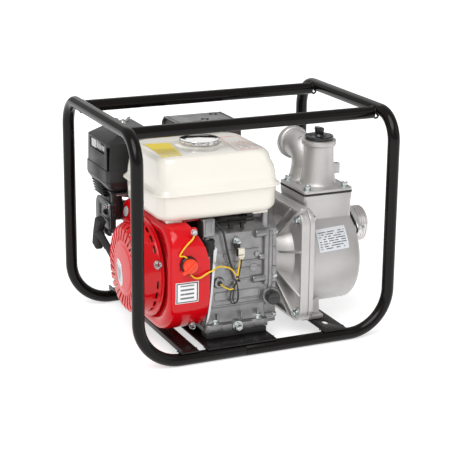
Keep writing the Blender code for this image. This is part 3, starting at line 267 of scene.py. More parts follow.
def makeFinish(name, colour, roughness, metallic=0.0, coat=0.0, grainSize=0.4, grain=0.1, mottleSize=25.0,
               mottle=0.08, smudge=0.06, tint=None, specks=0.0, waves=None, shine=0.5):
    # grainSize is in millimetres. mottle varies the colour, smudge the roughness, specks adds dust.
    material, tree, shader = startFinish(name, colour, metallic)
    shader.inputs["Coat Weight"].default_value = coat
    shader.inputs["Specular IOR Level"].default_value = shine
    shader.inputs["Coat Roughness"].default_value = 0.08
    nodes, links = tree.nodes, tree.links
    place = nodes.new("ShaderNodeTexCoord")
    broad = nodes.new("ShaderNodeTexNoise")
    broad.inputs["Scale"].default_value = 1000 / mottleSize
    broad.inputs["Detail"].default_value = 6
    links.new(place.outputs["Object"], broad.inputs["Vector"])
    shade = nodes.new("ShaderNodeMix")
    shade.data_type = "RGBA"
    darker = tint or tuple(c * (1 - 2.2 * mottle) for c in colour)
    shade.inputs["A"].default_value = (*darker, 1)
    shade.inputs["B"].default_value = (*(min(1, c * (1 + mottle)) for c in colour), 1)
    links.new(broad.outputs["Fac"], shade.inputs["Factor"])
    colourOut = shade.outputs["Result"]
    if specks:
        dots = nodes.new("ShaderNodeTexNoise")
        dots.inputs["Scale"].default_value = 900
        ramp = nodes.new("ShaderNodeValToRGB")
        ramp.color_ramp.elements[0].position = 0.68
        ramp.color_ramp.elements[1].position = 0.76
        ramp.color_ramp.elements[1].color = (specks, specks, specks, 1)
        links.new(place.outputs["Object"], dots.inputs["Vector"])
        links.new(dots.outputs["Fac"], ramp.inputs["Fac"])
        dusty = nodes.new("ShaderNodeMix")
        dusty.data_type = "RGBA"
        dusty.inputs["B"].default_value = (0.55, 0.52, 0.48, 1)
        links.new(ramp.outputs["Color"], dusty.inputs["Factor"])
        links.new(colourOut, dusty.inputs["A"])
        colourOut = dusty.outputs["Result"]
    links.new(colourOut, shader.inputs["Base Color"])
    smear = nodes.new("ShaderNodeTexNoise")
    smear.inputs["Scale"].default_value = 1000 / (mottleSize * 0.6)
    smear.inputs["Detail"].default_value = 4
    links.new(place.outputs["Object"], smear.inputs["Vector"])
    spread = nodes.new("ShaderNodeMapRange")
    spread.inputs["To Min"].default_value = max(0.02, roughness - smudge)
    spread.inputs["To Max"].default_value = min(1.0, roughness + smudge)
    links.new(smear.outputs["Fac"], spread.inputs["Value"])
    links.new(spread.outputs["Result"], shader.inputs["Roughness"])
    if grain:
        fine = nodes.new("ShaderNodeTexNoise")
        fine.inputs["Scale"].default_value = 1000 / grainSize
        fine.inputs["Detail"].default_value = 3
        links.new(place.outputs["Object"], fine.inputs["Vector"])
        bump = nodes.new("ShaderNodeBump")
        bump.inputs["Strength"].default_value = grain
        bump.inputs["Distance"].default_value = 0.0004
        links.new(fine.outputs["Fac"], bump.inputs["Height"])
        last = bump
        if waves:
            # (size in millimetres, strength) of a slower unevenness under the grain
            swell = nodes.new("ShaderNodeTexNoise")
            swell.inputs["Scale"].default_value = 1000 / waves[0]
            links.new(place.outputs["Object"], swell.inputs["Vector"])
            swellBump = nodes.new("ShaderNodeBump")
            swellBump.inputs["Strength"].default_value = waves[1]
            swellBump.inputs["Distance"].default_value = 0.001
            links.new(swell.outputs["Fac"], swellBump.inputs["Height"])
            links.new(bump.outputs["Normal"], swellBump.inputs["Normal"])
            last = swellBump
        links.new(last.outputs["Normal"], shader.inputs["Normal"])
    return material


finishes = {
    "frameBlack": dict(colour=(0.0045, 0.0034, 0.0030), roughness=0.16, shine=0.22, grainSize=1.6, grain=0.05,
                       mottle=0.2, smudge=0.05, waves=(9, 0.05)),
    "plateBlack": dict(colour=(0.006, 0.005, 0.005), roughness=0.28, shine=0.3, grainSize=1.2, grain=0.08,
                       mottle=0.25, smudge=0.1),
    "castAlloy": dict(colour=(0.58, 0.565, 0.555), roughness=0.47, metallic=0.75, grainSize=0.7, grain=0.22,
                      mottleSize=40, mottle=0.07, smudge=0.08, waves=(6, 0.12)),
    "engineAlloy": dict(colour=(0.33, 0.325, 0.33), roughness=0.36, metallic=0.92, grainSize=0.9, grain=0.35,
                        mottleSize=16, mottle=0.18, smudge=0.12, waves=(6, 0.35)),
    "cutAlloy": dict(colour=(0.74, 0.73, 0.72), roughness=0.28, metallic=0.9, grainSize=0.5, grain=0.1,
                     mottle=0.05),
    "brightSteel": dict(colour=(0.62, 0.62, 0.63), roughness=0.25, metallic=1.0, grainSize=0.5, grain=0.08,
                        mottle=0.08),
    "zincSteel": dict(colour=(0.58, 0.62, 0.62), roughness=0.24, metallic=1.0, grainSize=0.6, grain=0.12,
                      mottleSize=4, mottle=0.12, smudge=0.1),
    "castIron": dict(colour=(0.17, 0.17, 0.17), roughness=0.6, metallic=0.7, grainSize=0.8, grain=0.3),
    "redPaint": dict(colour=(0.62, 0.0012, 0.006), roughness=0.14, shine=0.32, coat=0.1, grainSize=2.2,
                     grain=0.03,
                     mottleSize=60, mottle=0.04, smudge=0.04, waves=(14, 0.05)),
    "redPlastic": dict(colour=(0.85, 0.055, 0.012), roughness=0.34, grainSize=0.7, grain=0.06, mottle=0.04),
    "creamPaint": dict(colour=(0.80, 0.765, 0.69), roughness=0.2, coat=0.5, grainSize=2.4, grain=0.03,
                       mottleSize=80, mottle=0.025, smudge=0.04, waves=(16, 0.05)),
    "fanCream": dict(colour=(0.72, 0.66, 0.48), roughness=0.5, grainSize=0.8, grain=0.1, mottle=0.06),
    "chromePlate": dict(colour=(0.83, 0.82, 0.82), roughness=0.07, metallic=1.0, grainSize=1.5, grain=0.02,
                        mottle=0.03, smudge=0.03),
    "blackPlastic": dict(colour=(0.010, 0.010, 0.010), roughness=0.42, shine=0.4, grainSize=0.6, grain=0.18,
                         mottle=0.12, smudge=0.08),
    "cleanerBlack": dict(colour=(0.016, 0.016, 0.017), roughness=0.34, shine=0.5, grainSize=0.7, grain=0.10,
                         mottle=0.15, smudge=0.06),
    "guardGrey": dict(colour=(0.30, 0.295, 0.30), roughness=0.42, metallic=0.7, grainSize=0.7, grain=0.12,
                      mottle=0.12, smudge=0.1),
    "glossPlastic": dict(colour=(0.018, 0.017, 0.018), roughness=0.22, coat=0.2, grainSize=0.9, grain=0.05,
                         mottle=0.1),
    "blackRubber": dict(colour=(0.017, 0.016, 0.016), roughness=0.7, grainSize=0.6, grain=0.25, mottle=0.15,
                        smudge=0.1),
    "heatPaint": dict(colour=(0.045, 0.042, 0.040), roughness=0.5, metallic=0.2, grainSize=0.5, grain=0.35,
                      mottleSize=18, mottle=0.25, smudge=0.12, tint=(0.035, 0.026, 0.020)),
    "warmSteel": dict(colour=(0.42, 0.34, 0.33), roughness=0.38, metallic=0.8, grainSize=0.7, grain=0.15,
                      mottle=0.15),
    "brass": dict(colour=(0.75, 0.48, 0.14), roughness=0.25, metallic=1.0, grainSize=0.6, grain=0.1,
                  mottle=0.1),
    "foam": dict(colour=(0.10, 0.10, 0.10), roughness=0.95, grainSize=1.2, grain=0.6, mottle=0.3),
    "ceramic": dict(colour=(0.80, 0.79, 0.76), roughness=0.2, coat=0.4, grainSize=1.0, grain=0.03,
                    mottle=0.03),
    "yellowSleeve": dict(colour=(0.86, 0.56, 0.015), roughness=0.38, grainSize=0.5, grain=0.06, mottle=0.08),
    "blackSleeve": dict(colour=(0.02, 0.02, 0.02), roughness=0.4, grainSize=0.5, grain=0.1, mottle=0.1),
    "creamNylon": dict(colour=(0.72, 0.68, 0.56), roughness=0.4, grainSize=0.6, grain=0.08, mottle=0.06),
    "ropeCord": dict(colour=(0.72, 0.70, 0.64), roughness=0.85, grainSize=0.8, grain=0.6, mottle=0.15),
    "labelSilver": dict(colour=(0.66, 0.67, 0.69), roughness=0.34, metallic=0.35, grainSize=0.5, grain=0.06,
                        mottle=0.04),
    "printGrey": dict(colour=(0.25, 0.25, 0.27), roughness=0.4, grainSize=0.6, grain=0.05, mottle=0.1),
}
paint = {name: makeFinish(name, **settings) for name, settings in finishes.items()}
print("finishes ready:", len(paint))


# Camera, light and floor.

stage = {"lens": 114.44, "cameraPlace": (-1.00824, -2.23778, 0.91042), "yaw": 24.197, "pitch": 16.577,
         "roll": 0.511,
         "floorSize": 40, "skyStrength": 0.45, "floorGlow": 0.6, "sunStrength": 2.2, "sunAngle": 50,
         "keyPower": 10, "fillPower": 4, "rimPower": 5}


def setStage():
    yaw, pitch, roll = (math.radians(stage[k]) for k in ("yaw", "pitch", "roll"))
    forward = Vector((math.cos(pitch) * math.sin(yaw), math.cos(pitch) * math.cos(yaw), -math.sin(pitch)))
    level = Vector((math.cos(yaw), -math.sin(yaw), 0))
    upright = level.cross(forward)
    right = math.cos(roll) * level + math.sin(roll) * upright
    up = math.cos(roll) * upright - math.sin(roll) * level
    lens = bpy.data.cameras.new("camera")
    lens.lens = stage["lens"]
    lens.sensor_width = 36
    camera = bpy.data.objects.new("camera", lens)
    camera.matrix_world = Matrix.Translation(stage["cameraPlace"]) @ Matrix((right, up,
            -forward)).transposed().to_4x4()
    bpy.context.collection.objects.link(camera)
    bpy.context.scene.camera = camera
    world = bpy.data.worlds.new("studio")
    bpy.context.scene.world = world
    world.use_nodes = True
    world.node_tree.nodes["Background"].inputs["Color"].default_value = (1, 0.995, 0.99, 1)
    world.node_tree.nodes["Background"].inputs["Strength"].default_value = stage["skyStrength"]
    lights = [("key", (-1.6, -1.9, 1.9), stage["keyPower"], 1.6),
              ("fill", (1.9, -1.7, 1.2), stage["fillPower"], 1.4),
              ("rim", (0.5, 2.3, 1.7), stage["rimPower"], 1.6)]
    for name, place, power, size in lights:
        lamp = bpy.data.lights.new(name, "AREA")
        lamp.energy = power
        lamp.size = size
        light = bpy.data.objects.new(name, lamp)
        light.matrix_world = Matrix.Translation(place) @ lookAlong(Vector(place) - Vector((0, 0, 0.2)))
        bpy.context.collection.objects.link(light)
    sun = bpy.data.lights.new("sun", "SUN")
    sun.energy = stage["sunStrength"]
    sun.angle = math.radians(stage["sunAngle"])
    sunLight = bpy.data.objects.new("sun", sun)
    sunLight.matrix_world = lookAlong((-0.45, -0.55, 1.0))
    bpy.context.collection.objects.link(sunLight)
    bpy.ops.mesh.primitive_plane_add(size=stage["floorSize"])
    floor = bpy.context.object
    floor.name = "floor"
    white, tree, shader = startFinish("paperWhite", (0.93, 0.93, 0.93), 0)
    shader.inputs["Base Color"].default_value = (0.62, 0.62, 0.62, 1)
    shader.inputs["Roughness"].default_value = 0.85
    shader.inputs["Emission Color"].default_value = (1, 1, 1, 1)
    shader.inputs["Emission Strength"].default_value = stage["floorGlow"]
    floor.data.materials.append(white)
    bpy.context.scene.view_settings.view_transform = "Standard"


setStage()
print("stage set")


# More shop tools: pipes, castings, bolts and labels.

def pipe(start, direction, radius, moves, sides=32):
    # moves: a vector for a straight run, or (centre, axis, degrees, steps) for a bend.
    bpy.ops.mesh.primitive_circle_add(vertices=sides, radius=radius)
    piece = bpy.context.object
    turnPiece(piece, Matrix.Translation(start) @ lookAlong(direction))
    bpy.ops.object.mode_set(mode="EDIT")
    bpy.ops.mesh.select_mode(type="VERT")
    bpy.ops.mesh.select_all(action="SELECT")
    for move in moves:
        if isinstance(move, Vector):
            bpy.ops.mesh.extrude_region_move(TRANSFORM_OT_translate={"value": move})
        else:
            centre, axis, degrees, steps = move
            bpy.ops.mesh.spin(steps=steps, angle=math.radians(-degrees), center=centre, axis=axis)
    bpy.ops.object.mode_set(mode="OBJECT")
    return fillEnds(piece)


def castingFrom(node, width=0.0008, segments=2, angle=30):
    # A copy of the CAD node with its loose triangles merged, flat faces joined and edges softened.
    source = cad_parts[node]
    bpy.ops.object.select_all(action="DESELECT")
    piece = source.copy()
    piece.data = source.data.copy()
    piece.parent = None
    for key in list(piece.keys()):
        del piece[key]
    piece.matrix_world = Matrix.Identity(4)
    piece.data.transform(source.matrix_world)
    bpy.context.collection.objects.link(piece)
    piece.hide_render = False
    pickOnly(piece)
    bpy.ops.object.mode_set(mode="EDIT")
    bpy.ops.mesh.select_all(action="SELECT")
    bpy.ops.mesh.remove_doubles(threshold=0.00002)
    bpy.ops.mesh.dissolve_limited(angle_limit=math.radians(1))
    bpy.ops.object.mode_set(mode="OBJECT")
    return soften(piece, width, segments, angle) if width else piece


def pickFaces(piece, test):
    pickOnly(piece)
    bpy.ops.object.mode_set(mode="EDIT")
    bpy.ops.mesh.select_mode(type="FACE")
    bpy.ops.mesh.select_all(action="DESELECT")
    bpy.ops.object.mode_set(mode="OBJECT")
    for face in piece.data.polygons:
        face.select = test(face.center, face.normal)
    bpy.ops.object.mode_set(mode="EDIT")


def hexBolt(place, direction, width=0.010, height=0.0055, washer=0.0075, sunk=0.0008):
    # A hexagon head with a dished top, on a spring washer and a flat washer.
    thick = 0.0011
    bpy.ops.mesh.primitive_cylinder_add(vertices=6, radius=width / math.sqrt(3), depth=height,
                                        location=(0, 0, 2 * thick + height / 2))
    head = freeze(bpy.context.object)
    pickFaces(head, lambda centre, normal: normal.z > 0.9)
    bpy.ops.mesh.inset(thickness=width * 0.14, depth=0)
    bpy.ops.mesh.extrude_region_move(TRANSFORM_OT_translate={"value": (0, 0, -sunk)})
    bpy.ops.object.mode_set(mode="OBJECT")
    soften(head, width * 0.045, 2, 40)
    flat = turned([(-0.0004, washer), (thick, washer)], "z", (0, 0), 32, bevel=0.0003)
    spring = turned([(thick, washer * 0.80), (2 * thick, washer * 0.80)], "z", (0, 0), 28, bevel=0.0003)
    piece = gather([head, spring, flat])
    return turnPiece(piece, Matrix.Translation(place) @ lookAlong(direction))


def panBolt(place, direction, radius=0.004, height=0.002, cross=True):
    # A round head with a cross recess.
    head = turned([(0, radius), (height * 0.5, radius * 0.98), (height * 0.85, radius * 0.8),
                   (height, radius * 0.45)],
                  "z", (0, 0), 24)
    if cross:
        slots = [block((-radius * 0.6, -radius * 0.12, height * 0.45),
                       (radius * 0.6, radius * 0.12, height * 2)),
                 block((-radius * 0.12, -radius * 0.6, height * 0.45),
                       (radius * 0.12, radius * 0.6, height * 2))]
        carve(head, *slots)
    return turnPiece(head, Matrix.Translation(place) @ lookAlong(direction))


def labelSheet(corners, target, direction, columns=24, rows=24, lift=0.00025, thickness=0.0002):
    # A grid between four corners (low left, low right, top right, top left), laid onto the piece behind it.
    bpy.ops.mesh.primitive_grid_add(x_subdivisions=columns, y_subdivisions=rows, calc_uvs=True)
    sheet = bpy.context.object
    a, b, c, d = (Vector(corner) for corner in corners)
    for k, vertex in enumerate(sheet.data.vertices):
        u, v = (k % (columns + 1)) / columns, (k // (columns + 1)) / rows
        vertex.co = (a * (1 - u) + b * u) * (1 - v) + (d * (1 - u) + c * u) * v
    hits = [target.ray_cast(vertex.co - Vector(direction) * 0.03, Vector(direction),
                            distance=0.06) for vertex in sheet.data.vertices]
    for vertex, (hit, spot, normal, index) in zip(sheet.data.vertices, hits):
        if hit:
            vertex.co = spot - Vector(direction) * lift
    pickOnly(sheet)
    bpy.ops.object.mode_set(mode="EDIT")
    bpy.ops.mesh.select_all(action="SELECT")
    bpy.ops.mesh.normals_make_consistent(inside=False)
    bpy.ops.object.mode_set(mode="OBJECT")
    if sheet.data.polygons[0].normal.dot(Vector(direction)) > 0:
        pickOnly(sheet)
        bpy.ops.object.mode_set(mode="EDIT")
        bpy.ops.mesh.flip_normals()
        bpy.ops.object.mode_set(mode="OBJECT")
    return applyModifier(sheet, "SOLIDIFY", thickness=thickness, offset=1)


def printedFinish(name, base, ink, rows=6, margin=0.06, outline=0.0, outlineInk=None, metallic=0.0,
                  roughness=0.3,
                  area=(0.08, 0.08, 0.92, 0.92), amount=0.52):
    # A printed label: rows of short bars inside an area of its UV map, and a line round its edge.
    material, tree, shader = startFinish(name, base, metallic)
    nodes, links = tree.nodes, tree.links
    shader.inputs["Roughness"].default_value = roughness
    shader.inputs["Coat Weight"].default_value = 0.3

    def calc(operation, *values):
        node = nodes.new("ShaderNodeMath")
        node.operation = operation
        for k, value in enumerate(values):
            if isinstance(value, (int, float)):
                node.inputs[k].default_value = value
            else:
                links.new(value, node.inputs[k])
        return node.outputs[0]

    place = nodes.new("ShaderNodeTexCoord")
    split = nodes.new("ShaderNodeSeparateXYZ")
    links.new(place.outputs["UV"], split.inputs[0])
    u, v = split.outputs[0], split.outputs[1]
    row = calc("MULTIPLY", v, rows)
    inRow = calc("LESS_THAN", calc("FRACT", row), 0.42)
    join = nodes.new("ShaderNodeCombineXYZ")
    links.new(calc("MULTIPLY", u, 9.0), join.inputs[0])
    links.new(calc("MULTIPLY", calc("FLOOR", row), 7.3), join.inputs[1])
    words = nodes.new("ShaderNodeTexNoise")
    words.inputs["Scale"].default_value = 1.0
    links.new(join.outputs[0], words.inputs["Vector"])
    bars = calc("MULTIPLY", inRow, calc("GREATER_THAN", words.outputs["Fac"], amount))
    inside = calc("MULTIPLY",
                  calc("MULTIPLY", calc("GREATER_THAN", u, area[0]), calc("LESS_THAN", u, area[2])),
                  calc("MULTIPLY", calc("GREATER_THAN", v, area[1]), calc("LESS_THAN", v, area[3])))
    bars = calc("MULTIPLY", bars, inside)
    edge = calc("MAXIMUM", calc("ABSOLUTE", calc("SUBTRACT", u, 0.5)),
                calc("ABSOLUTE", calc("SUBTRACT", v, 0.5)))
    grainNoise = nodes.new("ShaderNodeTexNoise")
    grainNoise.inputs["Scale"].default_value = 60
    links.new(place.outputs["Object"], grainNoise.inputs["Vector"])
    ground = nodes.new("ShaderNodeMix")
    ground.data_type = "RGBA"
    ground.inputs["A"].default_value = (*(c * 0.93 for c in base), 1)
    ground.inputs["B"].default_value = (*base, 1)
    links.new(grainNoise.outputs["Fac"], ground.inputs["Factor"])
    printed = nodes.new("ShaderNodeMix")
    printed.data_type = "RGBA"
    printed.inputs["B"].default_value = (*ink, 1)
    links.new(bars, printed.inputs["Factor"])
    links.new(ground.outputs["Result"], printed.inputs["A"])
    colour = printed.outputs["Result"]
    if outline:
        ring = calc("MULTIPLY", calc("GREATER_THAN", edge, 0.5 - margin - outline),
                    calc("LESS_THAN", edge, 0.5 - margin))
        lined = nodes.new("ShaderNodeMix")
        lined.data_type = "RGBA"
        lined.inputs["B"].default_value = (*(outlineInk or ink), 1)
        links.new(ring, lined.inputs["Factor"])
        links.new(colour, lined.inputs["A"])
        colour = lined.outputs["Result"]
    links.new(colour, shader.inputs["Base Color"])
    return material


# Tube frame.

tubeFrame = {"radius": 0.01065, "length": 0.470, "width": 0.348, "height": 0.386, "lowBend": 0.075,
             "topBend": 0.048,
             "seam": -0.042, "railInset": 0.057, "railDrop": 0.0055, "weldRadius": 0.0017}


def makeHoop(side, name):
    r, halfLength, halfWidth = tubeFrame["radius"], tubeFrame["length"] / 2, tubeFrame["width"] / 2
    lowBend, topBend, floorZ, topZ = tubeFrame["lowBend"], tubeFrame["topBend"], r, r + tubeFrame["height"]
    endX = side * halfLength
    startX = tubeFrame["seam"] + side * 0.0002
    turnX = endX - side * lowBend
    moves = [Vector((turnX - startX, 0, 0)),
             ((turnX, -halfWidth, floorZ + lowBend), (0, 1, 0), -90 * side, 20),
             Vector((0, 0, topZ - topBend - floorZ - lowBend)),
             ((endX, -halfWidth + topBend, topZ - topBend), (1, 0, 0), -90, 16),
             Vector((0, 2 * (halfWidth - topBend), 0)),
             ((endX, halfWidth - topBend, topZ - topBend), (1, 0, 0), -90, 16),
             Vector((0, 0, -(topZ - topBend - floorZ - lowBend))),
             ((turnX, halfWidth, floorZ + lowBend), (0, 1, 0), 90 * side, 20),
             Vector((startX - turnX, 0, 0))]
    piece = pipe((startX, -halfWidth, floorZ), (side, 0, 0), r, moves, 36)
    soften(piece, 0.0006, 2, 60)
    return finished(piece, name, "unit", "frame_paint", paint["frameBlack"],
                    "end_hoop_engine" if side < 0 else "end_hoop_pump", smoothAngle=50)


def makeFrame():
    r = tubeFrame["radius"]
    for side, name in ((-1, "hoopEngineEnd"), (1, "hoopPumpEnd")):
        makeHoop(side, name)
    crossZ = r + tubeFrame["height"]
    railZ = crossZ - tubeFrame["railDrop"]
    railY = tubeFrame["width"] / 2 - tubeFrame["railInset"]
    for side, name in ((-1, "top_rail_near"), (1, "top_rail_far")):
        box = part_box(name)
        rail = turned([(box[0].x, r), (box[0].x + 0.001, r), (box[1].x - 0.001, r), (box[1].x, r)], "x",
                      (side * railY, railZ), 36)
        finished(rail, "railNear" if side < 0 else "railFar", "unit", "frame_paint", paint["frameBlack"],
                 name)
        for end in (-1, 1):
            points = []
            for k in range(37):
                a = 2 * math.pi * k / 36
                z = railZ + r * math.sin(a)
                y = side * railY + r * math.cos(a)
                dip = math.sqrt(max(0.2 * r * r, r * r - (z - crossZ) ** 2))
                ripple = 0.0003 * math.sin(9 * a + side) + 0.0002 * math.sin(17 * a)
                points.append((end * (tubeFrame["length"] / 2 - dip - 0.0004 + ripple), y, z + ripple))
            bead = wire(points, tubeFrame["weldRadius"], 10, smooth=False)
            finished(bead, f"weldBead{'Near' if side < 0 else 'Far'}{'Pump' if end > 0 else 'Engine'}",
                     "unit",
                     "frame_paint", paint["frameBlack"], smoothAngle=60)
    print("tube frame ready")


makeFrame()

crossPlates = {"weldRadius": 0.0016, "edge": 0.0007}


def makePlates():
    for node, name in (("front_cross_plate", "frontPlate"), ("engine_cross_plate", "enginePlate"),
                       ("pump_cross_plate", "pumpPlate")):
        piece = castingFrom(node, crossPlates["edge"], 2)
        finished(piece, name, "unit", "frame_paint", paint["plateBlack"], node)
        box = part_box(node)
        beads = []
        for side in (-1, 1):
            y = side * (tubeFrame["width"] / 2 - 0.0062)
            z = box[0].z + 0.0014
            for x in (box[0].x + 0.0002, box[1].x - 0.0002):
                points = [(x + 0.0002 * math.sin(5 * k), y + side * (0.0008 * k - 0.006),
                           z - 0.0006 * abs(k - 5) + 0.001) for k in range(11)]
                beads.append(wire(points, crossPlates["weldRadius"], 8))
        finished(gather(beads), name + "Welds", "unit", "frame_paint", paint["frameBlack"], smoothAngle=60)
    for node, name in (("engine_mount_near", "mountNear"), ("engine_mount_far", "mountFar")):
        finished(castingFrom(node, 0.0012, 3), name, "unit", "rubber", paint["blackRubber"], node)
    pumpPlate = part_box("pump_cross_plate")
    x = (pumpPlate[0].x + pumpPlate[1].x) / 2
    bolts = [hexBolt((x, side * 0.108, pumpPlate[1].z), (0, 0, 1), 0.012, 0.006, 0.0105) for side in (-1, 1)]
    finished(gather(bolts), "pumpPlateBolts", "unit", "steel", paint["zincSteel"])
    print("cross plates ready")


makePlates()


# Fuel tank, cap and its stickers.

tank = {"x": (-0.181, 0.039), "y": (-0.135, 0.036), "low": 0.2365, "seam": 0.284, "top": 0.3462,
        "corner": 0.022,
        "lipEnds": 0.0078, "lipSides": 0.0052, "bossRadius": 0.0415, "bossTop": 0.3481,
        "capCentre": (-0.073, -0.047), "capRadius": 0.0345, "notches": 16}


def tankRing(z, insetX, insetY, corner, shiftRight=0.0):
    us = (tank["x"][0] + insetX, tank["x"][1] - insetX - shiftRight)
    vs = (tank["y"][0] + insetY, tank["y"][1] - insetY)
    return [Vector((u, v, z)) for u, v in roundedOutline(us, vs, corner, 10)]


def makeTank():
    low, seam, top, corner = tank["low"], tank["seam"], tank["top"], tank["corner"]
    ends, sides = tank["lipEnds"], tank["lipSides"]
    rows = []
    for k in range(7):      # round lower edge
        a = math.radians(90 * k / 6)
        inset = 0.0155 * (1 - math.sin(a))
        rows.append(tankRing(low + 0.0155 * (1 - math.cos(a)), inset, inset, corner + 0.004))
    rows += [tankRing(seam - 0.0042, 0.0, 0.0, corner), tankRing(seam - 0.0026, -0.0006, -0.0006, corner),
             tankRing(seam - 0.0019, -ends * 0.45, -sides * 0.45, corner + 0.003),
             tankRing(seam - 0.0014, -ends * 0.92, -sides * 0.92, corner + 0.007),
             tankRing(seam - 0.0006, -ends, -sides, corner + 0.008),
             tankRing(seam + 0.0006, -ends, -sides, corner + 0.008),
             tankRing(seam + 0.0016, -ends * 0.9, -sides * 0.9, corner + 0.007),
             tankRing(seam + 0.0028, -ends * 0.55, -sides * 0.5, corner + 0.004),
             tankRing(seam + 0.0052, -ends * 0.16, -sides * 0.14, corner + 0.001),
             tankRing(seam + 0.0085, 0.0004, 0.0004, corner), tankRing(seam + 0.018, 0.0010, 0.0012, corner),
             tankRing(seam + 0.032, 0.0028, 0.0030, corner + 0.001),
             tankRing(seam + 0.042, 0.0050, 0.0052, corner + 0.002, 0.003)]
    for k in range(1, 9):     # broad shoulder
        a = math.radians(90 * k / 8)
        rise = 0.0140 * math.sin(a)
        inset = 0.0055 + 0.0100 * (1 - math.cos(a))
        rows.append(tankRing(top - 0.0142 + rise, inset, inset + 0.001, corner + 0.004,
                             0.003 + 0.006 * k / 8))
    rows.append(tankRing(top, 0.045, 0.045, 0.026, 0.008))
    shell = lofted(rows)
    x, y = tank["capCentre"]
    r = tank["bossRadius"]
    boss = turned([(top - 0.004, r + 0.006), (top - 0.0010, r + 0.0045), (top + 0.0004, r + 0.0012),
                   (tank["bossTop"] - 0.0005, r - 0.0012),
                   (tank["bossTop"], r - 0.0032), (tank["bossTop"], 0.021)], "z", (x, y), 72)
    body = gather([boss, shell])
    finished(body, "tankShell", "unit", "cream_paint", paint["creamPaint"], "fuel_tank", smoothAngle=50)
    brackets = []
    for bx in (-0.150, 0.008):
        brackets.append(block((bx - 0.014, tank["y"][0] + 0.012, low - 0.0025),
                              (bx + 0.014, tank["y"][0] + 0.040, low + 0.004), 0.001))
    finished(gather(brackets), "tankFeet", "unit", "cream_paint", paint["creamPaint"])
    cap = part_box("fuel_cap")
    seat, capTop = cap[0].z + 0.0123, cap[1].z
    r = tank["capRadius"]
    skirt = turned([(seat, 0.0205), (seat, r - 0.0008), (seat + 0.0006, r), (seat + 0.0062, r + 0.0004),
                    (seat + 0.0072, r - 0.0002),
                    (seat + 0.0078, r - 0.0024), (capTop - 0.0011, r - 0.0060), (capTop - 0.0006, r - 0.0120),
                    (capTop - 0.0002, 0.012), (capTop, 0.001)], "z", (x, y), 96)
    cutters = []
    for k in range(tank["notches"]):
        a = 2 * math.pi * k / tank["notches"]
        notch = block((r - 0.0016, -0.0024, seat - 0.001), (r + 0.004, 0.0024, seat + 0.0056), 0.0009, 2)
        cutters.append(turnPiece(notch, Matrix.Translation((x, y, 0)) @ Matrix.Rotation(a, 4, "Z")))
    carve(skirt, gather(cutters))
    finished(skirt, "capCover", "fuel_cap_body", "chrome", paint["chromePlate"], "fuel_cap", smoothAngle=40)
    neck = turned([(seat - 0.011, 0.0172), (seat + 0.001, 0.0172)], "z", (x, y), 48)
    finished(neck, "capNeck", "fuel_cap_body", "chrome", paint["zincSteel"])
    print("tank ready")
    return body


tankBody = makeTank()

tankStickers = {"yellow": [(-0.1318, -0.1145), (-0.1197, -0.0240), (-0.1620, -0.0160), (-0.1665, -0.1120)],
                "white": [(-0.0360, -0.1185), (0.0080, -0.1195), (0.0140, -0.0137), (-0.0236, -0.0135)]}


def makeTankStickers():
    down = (0, 0, -1)
    z = tank["top"]
    yellow = printedFinish("stickerYellow", (0.92, 0.70, 0.02), (0.50, 0.36, 0.02), rows=9, margin=0.0,
                           area=(0.1, 0.08, 0.55, 0.92), amount=0.3)
    white = printedFinish("stickerRedLine", (0.80, 0.775, 0.72), (0.60, 0.22, 0.18), rows=11, margin=0.03,
                          outline=0.025,
                          outlineInk=(0.75, 0.07, 0.05), area=(0.12, 0.1, 0.88, 0.6), amount=0.5)
    for key, finish, name in (("yellow", yellow, "tankStickerYellow"), ("white", white, "tankStickerWhite")):
        corners = [(x, y, z) for x, y in tankStickers[key]]
        sheet = labelSheet(corners, tankBody, down)
        finished(sheet, name, "unit", "cream_paint", finish)


makeTankStickers()

# Fan shroud: near side, dished front and rounded back edge.

shroud = {"x": (-0.172, -0.1005), "y": (-0.158, 0.040), "z": (0.036, 0.2345), "lowCorner": 0.082,
          "topCorner": 0.040,
          "wall": 0.002, "crank": (-0.047, 0.140), "holeRadius": 0.0765,
          "backCut": [(-0.1305, 0.240), (-0.1300, 0.2330), (-0.1235, 0.2240), (-0.1085, 0.1960),
                      (-0.1005, 0.1700)]}


def shroudRing(x, inset, centreBlend=0.0):
    points = []
    outline = roundedOutline((shroud["y"][0] + inset, shroud["y"][1] - inset),
                             (shroud["z"][0] + inset, shroud["z"][1] - inset),
                             shroud["topCorner"] - inset * 0.3, 16, shroud["lowCorner"] - inset * 0.6)
    cy, cz = shroud["crank"]
    for y, z in outline:
        d = Vector((y - cy, z - cz))
        circle = d.normalized() * shroud["holeRadius"]
        place = d.lerp(circle, centreBlend)
        points.append(Vector((x, cy + place.x, cz + place.y)))
    return points


